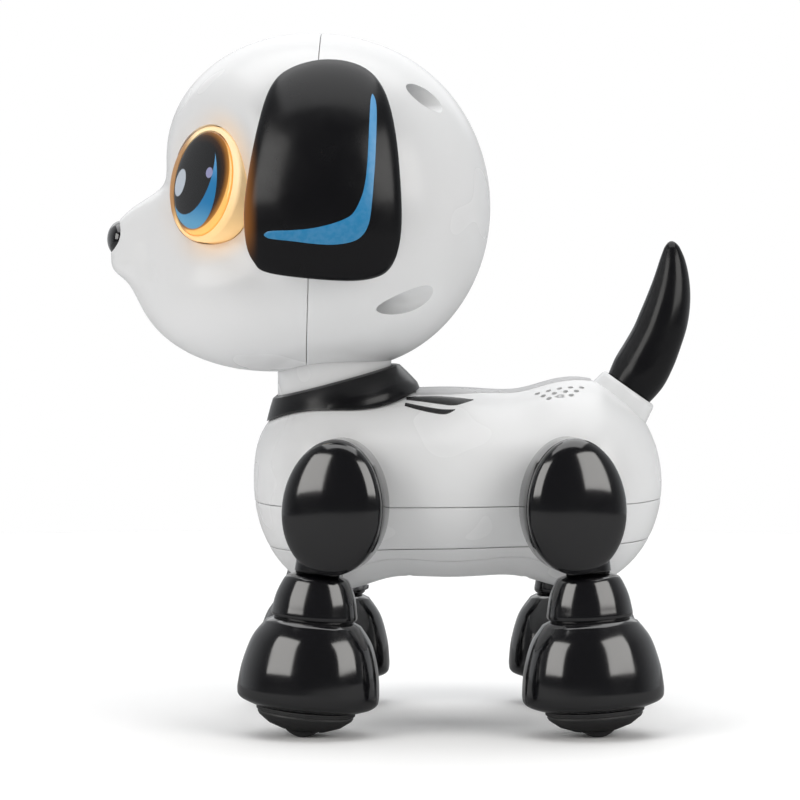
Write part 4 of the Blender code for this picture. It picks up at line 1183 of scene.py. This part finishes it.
# Flat places, (along the back, sideways), of the decoration behind the collar.
WEDGE_OUTER = ((1.4, 10.8), (5.0, 12.0), (9.0, 13.3), (12.0, 13.6), (14.6, 12.0), (16.0, 10.7))
WEDGE_INNER = ((1.4, 9.0), (5.0, 8.8), (8.0, 9.0), (11.2, 9.6), (14.2, 10.1), (15.9, 10.5))
BAR_OUTER = ((1.0, 13.6), (3.5, 15.0), (6.4, 16.2), (8.8, 16.8), (10.4, 16.6), (11.9, 15.4))
BAR_INNER = ((1.2, 12.2), (3.8, 13.4), (6.6, 14.5), (8.8, 15.1), (10.4, 15.2), (12.0, 15.1))


BAND_START = 3.5
BAND_END = 42.0
BAND_HALF_WIDTH = 4.2
BAND_FLARE = 3.9
BAND_FLARE_END = 22.0
BAND_FLARE_LENGTH = 12.0


def band_half_width(x):
    """The band flares towards the collar and narrows at the tail."""
    flare = min(1.0, max(0.0, (BAND_FLARE_END - x) / BAND_FLARE_LENGTH))
    narrowing = min(1.0, 0.45 + 0.55 * math.sqrt(max(0.0, (BAND_END - x) / 6.0)))
    return BAND_HALF_WIDTH * narrowing + BAND_FLARE * flare * flare * (3.0 - 2.0 * flare)


def build_back_trim(paints):
    across = np.linspace(-1.0, 1.0, 17)
    crest = 0.05 + 0.25 * np.sqrt(np.clip(1.0 - across ** 4, 0.0, 1.0))
    groove = 0.14 * np.exp(-((np.abs(across) - 0.72) / 0.06) ** 2)
    bottom = np.full(17, -0.1)
    rings = []
    for x in np.linspace(BAND_START, BAND_END, 100):
        flat = np.stack((np.full(17, x), across * band_half_width(x)), -1)
        rings.append(np.concatenate((top_surface(flat, crest - groove), top_surface(flat[::-1], bottom))))
    dress(loft("spine_band", rings), "torso", paints["band"], ["back_band"])
    for name, side in SIDES.items():
        flip = np.array((1.0, side))
        for label, outer, inner in (("wedge", WEDGE_OUTER, WEDGE_INNER), ("bar", BAR_OUTER, BAR_INNER)):
            inlay = ribbon(f"back_{label}_{name}", smooth_outline(outer, 6, False) * flip,
                           smooth_outline(inner, 6, False) * flip, top_surface, 0.1, 0.04)
            dress(inlay, "torso", paints["satin"])


# ---------------------------------------------------------------- tail

def build_tail(paints):
    """Horn along a cubic curve, with a rounded tip past the last station."""
    a, b, c, d = (np.array((p[0], 0.0, p[1])) for p in TAIL_CURVE)
    radii = smooth_outline(TAIL_STATIONS, 12, False)
    end_share, end_radius = TAIL_STATIONS[-1]
    across = np.array((0.0, 1.0, 0.0))
    around = turns(96)[:, None]
    rings = []
    tip = np.linspace(math.sqrt(1.0 - end_share), 0.02, 12)
    shares = np.concatenate((np.linspace(0.0, end_share, 80), 1.0 - tip[1:] ** 2))
    for t in shares:
        u = 1.0 - t
        place = u ** 3 * a + 3 * u * u * t * b + 3 * u * t * t * c + t ** 3 * d
        heading = unit(3 * u * u * (b - a) + 6 * u * t * (c - b) + 3 * t * t * (d - c))
        radius = np.interp(t, radii[:, 0], radii[:, 1])
        if t > end_share:
            radius = end_radius * math.sqrt((1.0 - t) / (1.0 - end_share))
        upward = np.cross(heading, across)
        rings.append(place + radius * (np.cos(around) * across + np.sin(around) * upward))
    tail = loft("tail_horn", rings, None, d)
    radius = TAIL_STUB_RADIUS
    stub = turned("stub", ((radius - 0.4, -6.0), (radius, -5.6), (radius, 1.0)), 48)
    combine(tail, move(stub, tail_placement()), "UNION")
    dress(tail, "tail", paints["satin"], ["tail"])


# ---------------------------------------------------------------- legs

def thigh_ring(share, depth, steps=96):
    angle = turns(steps)
    belly = 1.0 - THIGH_TAPER * np.cos(angle)
    return np.stack((THIGH_HALF_WIDTH * share * belly * np.sin(angle), np.full(steps, depth),
                     THIGH_HALF_HEIGHT * share * np.cos(angle)), -1)


def foot_half(name, outer, shift):
    sign = 1.0 if outer else -1.0
    squareness = 1.0 if outer else 0.7
    steps = 48
    angle = math.pi * np.arange(steps + 1) / steps
    profile = np.concatenate((smooth_outline(ANKLE_PROFILE, 6, False),
                              smooth_outline(FOOT_PROFILE, 8, False)))
    rings = [
        np.stack((shift + half * np.cos(angle),
                  FOOT_CENTRE_Y + sign * (np.sin(angle) ** squareness * half * FOOT_DEPTH_SHARE + GAP / 2),
                  np.full(steps + 1, height - HIP_HEIGHT)), -1)
        for height, half in profile
    ]
    return loft(name, rings)


def roller_placement(shift):
    return aim((shift, FOOT_CENTRE_Y, ROLLER_RADIUS - HIP_HEIGHT), (0.0, 1.0, 0.0))


def roller_tool(name, grow, shift):
    radius = ROLLER_RADIUS + grow
    half = ROLLER_HALF_WIDTH + grow
    axle = ROLLER_AXLE_RADIUS + grow
    reach = ROLLER_AXLE_HALF + grow
    profile = ((axle, -reach), (axle, -half), (radius, -half), (radius, half), (axle, half), (axle, reach))
    return move(turned(name, profile, 96), roller_placement(shift))


def roller_mesh(shift):
    """Roller with a shallow fluted tread between two plain shoulders."""
    steps = 120
    flute = FLUTE_DEPTH * (0.5 + 0.5 * np.cos(FLUTES * turns(steps))) ** 2
    half = ROLLER_HALF_WIDTH
    radius = ROLLER_RADIUS
    axle = ROLLER_AXLE_RADIUS
    shoulder = ((axle, ROLLER_AXLE_HALF, 0.0), (axle, half, 0.0), (radius - 0.7, half, 0.0),
                (radius - 0.25, half - 0.1, 0.0), (radius - 0.02, half - 0.4, 0.0),
                (radius, half - 0.75, 0.0),
                (radius, half - 0.9, 1.0))
    profile = [(r, -z, cut) for r, z, cut in shoulder] + [(radius, 0.0, 1.0)] + list(shoulder[::-1])
    rings = [oval(r - cut * flute, r - cut * flute, z, steps) for r, z, cut in profile]
    return move(loft("roller_wheel", rings), roller_placement(shift))


def thigh_cap():
    """Domed cover over the outer side of the thigh."""
    low = THIGH_PARTING + GAP
    rim = low + THIGH_EDGE
    rise = THIGH_DEPTH - low - THIGH_EDGE
    dome = [thigh_ring(math.cos(t), rim + rise * math.sin(t)) for t in np.linspace(0.0, 1.52, 26)]
    return loft("thigh_cap", [
        thigh_ring(0.5, low), thigh_ring(0.985, low), thigh_ring(0.995, low + 0.08), *dome,
    ], (0.0, low, 0.0), (0.0, rim + rise, 0.0))


def leg_inside(shift):
    """Thigh, ankle and foot in one piece, with the shaft that turns in the body."""
    inner = loft("leg_inside", [
        thigh_ring(s, y) for s, y in (
            (0.5, 0.0), (0.84, 0.0), (0.9, 0.12), (0.955, 0.5), (0.99, 1.1), (1.0, 1.8), (1.0, 5.0),
            (1.0, THIGH_PARTING - 0.25), (0.99, THIGH_PARTING - 0.06), (0.975, THIGH_PARTING),
            (0.5, THIGH_PARTING),
        )
    ], (0.0, 0.0, 0.0), (0.0, THIGH_PARTING, 0.0))
    ankle = turned("ankle_post", ((5.2, -18.0), (4.6, -11.0)), 64)
    narrowed = Matrix.Diagonal((1.0, 0.72, 1.0, 1.0))
    move(ankle, Matrix.Translation((shift, 0.45 * THIGH_PARTING, 0.0)) @ narrowed)
    cover_side = FOOT_CENTRE_Y - GAP / 2 - 0.05
    combine(ankle, block("cover_room", (shift - 9.0, cover_side, -30.0), (shift + 9.0, 12.0, -14.5)))
    combine(inner, ankle, "UNION")
    combine(inner, foot_half("foot_inside", False, shift), "UNION")
    shaft = move(turned("shaft", ((2.6, -HIP_SHAFT_LENGTH), (3.0, 0.4 - HIP_SHAFT_LENGTH), (3.0, 2.0)), 48),
                 aim((0.0, 0.0, 0.0), (0.0, 1.0, 0.0)))
    combine(inner, shaft, "UNION")
    return inner


def leg_meshes(shift):
    """The five pieces of a leg, in its hip's own frame."""
    middle = np.array((shift, FOOT_CENTRE_Y, 0.0))
    pieces = {
        "thigh_cap": thigh_cap(),
        "leg_inside": leg_inside(shift),
        "foot_shell": foot_half("foot_shell", True, shift),
        "sole_pad": loft("sole_pad", [
            middle + oval(half, SOLE_DEPTH_SHARE * half, height - HIP_HEIGHT, 96)
            for height, half in SOLE_PROFILE
        ]),
    }
    for piece_name in ("leg_inside", "foot_shell", "sole_pad"):
        combine(pieces[piece_name], roller_tool("roller_room", GAP, shift))
    pieces["roller_wheel"] = roller_mesh(shift)
    return pieces


# Node, slot and paint of each piece of a leg.
LEG_PIECES = {
    "thigh_cap": ("thigh_cover", "leg_black", "gloss"),
    "leg_inside": ("leg_inner", "leg_black", "gloss"),
    "foot_shell": ("foot_cover", "leg_black", "gloss"),
    "sole_pad": ("sole", "sole_black", "sole"),
    "roller_wheel": ("roller", "sole_black", "roller"),
}


def build_legs(paints):
    for end in ("front", "rear"):
        for side_name in SIDES:
            placement = hip_placement(end, side_name)
            label = f"{end}_{side_name}"
            for piece_name, piece in leg_meshes(foot_shift(end, side_name)).items():
                node, slot_name, paint = LEG_PIECES[piece_name]
                piece.name = f"{piece_name}_{label}"
                move(piece, placement)
                body = ("roller_" if piece_name == "roller_wheel" else "leg_") + label
                dress(piece, body, paints[paint], [f"{node}_{label}"])


# ---------------------------------------------------------------- what stays as the model has it

def paint_inside(paints):
    """Finish of the pieces inside, whose solids are shown as they are."""
    finishes = {
        "battery_tray": "satin", "battery_cell_left": "cell", "battery_cell_middle": "cell",
        "battery_cell_right": "cell", "circuit_board": "board", "speaker": "steel", "motor": "steel",
        "gear_axle": "steel", "motor_pinion": "nylon", "drive_gear": "nylon",
        "eye_light_board_left": "board", "eye_light_board_right": "board",
    }
    for node, finish in finishes.items():
        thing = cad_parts[node]
        for slot_of_node in thing.material_slots:
            slot_of_node.material = paints[finish]


# ---------------------------------------------------------------- stage

CAMERA_PLACE = (0.0, -0.9, 0.1208)
CAMERA_TARGET = (0.0, 0.0, 0.0706)
CAMERA_LENS = 184.1
LIT_PLACE = (0.0, 0.0, 0.075)
FLOOR_RADIUS = 480.0
WARM_WHITE = (1.0, 0.985, 0.96)


def build_stage():
    """Pale floor, given a darker colour for glossy rays so that it reflects less in the glossy legs."""
    paint = Paint("floor_white")
    white = paint.mix(paint.uneven(3.0, 2.0), (0.96, 0.96, 0.96), (0.98, 0.98, 0.98))
    path = paint.nodes.new("ShaderNodeLightPath")
    paint.set(Base_Color=paint.mix(path.outputs["Is Glossy Ray"], white, (0.25, 0.25, 0.25)))
    paint.set(Roughness=0.9, Specular_IOR_Level=0.1)
    floor = turned("floor", ((FLOOR_RADIUS, -3.0), (FLOOR_RADIUS, -0.05)))
    floor.data.materials.append(paint.material)


def area_light(name, place, size, power, colour=(1.0, 1.0, 1.0)):
    lamp = bpy.data.lights.new(name, "AREA")
    lamp.shape = "RECTANGLE"
    lamp.size, lamp.size_y = size
    lamp.energy = power
    lamp.color = colour
    thing = add_object(name, lamp)
    thing.location = place
    thing.rotation_euler = (Vector(LIT_PLACE) - Vector(place)).to_track_quat("-Z", "Y").to_euler()


def build_lights():
    for name, side in SIDES.items():
        area_light("softbox_" + name, (side * 0.68, -0.56, 0.44), (0.62, 0.6), 4.0, WARM_WHITE)
    area_light("top_light", (0.0, 0.1, 1.3), (1.6, 1.6), 14.5)
    area_light("back_light", (0.0, 1.0, 0.7), (1.4, 0.7), 2.5)


def build_world():
    """White where the camera sees it; elsewhere dark in front of the toy and brighter behind it."""
    world = bpy.data.worlds.new("studio")
    bpy.context.scene.world = world
    world.use_nodes = True
    nodes, links = world.node_tree.nodes, world.node_tree.links
    nodes.clear()
    seen = nodes.new("ShaderNodeBackground")
    seen.inputs["Color"].default_value = (1.0, 1.0, 1.0, 1.0)
    dim = nodes.new("ShaderNodeBackground")
    dim.inputs[0].default_value = (0.96, 0.98, 1.0, 1.0)
    heading = nodes.new("ShaderNodeTexCoord")
    split = nodes.new("ShaderNodeSeparateXYZ")
    links.new(heading.outputs["Generated"], split.inputs[0])
    behind = nodes.new("ShaderNodeMapRange")
    behind.interpolation_type = "SMOOTHSTEP"
    for name, value in (("From Min", -0.45), ("From Max", 0.6), ("To Min", 0.06), ("To Max", 0.5)):
        behind.inputs[name].default_value = value
    links.new(split.outputs["Y"], behind.inputs[0])
    links.new(behind.outputs[0], dim.inputs[1])
    path = nodes.new("ShaderNodeLightPath")
    choose = nodes.new("ShaderNodeMixShader")
    out = nodes.new("ShaderNodeOutputWorld")
    links.new(path.outputs["Is Camera Ray"], choose.inputs[0])
    links.new(dim.outputs[0], choose.inputs[1])
    links.new(seen.outputs[0], choose.inputs[2])
    links.new(choose.outputs[0], out.inputs[0])


def build_camera():
    data = bpy.data.cameras.new("camera")
    data.sensor_width = 36.0
    data.lens = CAMERA_LENS
    camera = add_object("camera", data)
    camera.location = CAMERA_PLACE
    ahead = Vector(CAMERA_TARGET) - Vector(CAMERA_PLACE)
    camera.rotation_euler = ahead.to_track_quat("-Z", "Y").to_euler()
    bpy.context.scene.camera = camera
    bpy.context.scene.view_settings.view_transform = "Standard"


build_camera()
build_stage()
build_lights()
build_world()
paints = make_materials()
build_head(paints)
for ear_name, lit_towards_ear in SIDES.items():
    build_ear(ear_name, lit_towards_ear, paints)
build_body(paints)
build_neck(paints)
build_back_trim(paints)
build_tail(paints)
build_legs(paints)
paint_inside(paints)
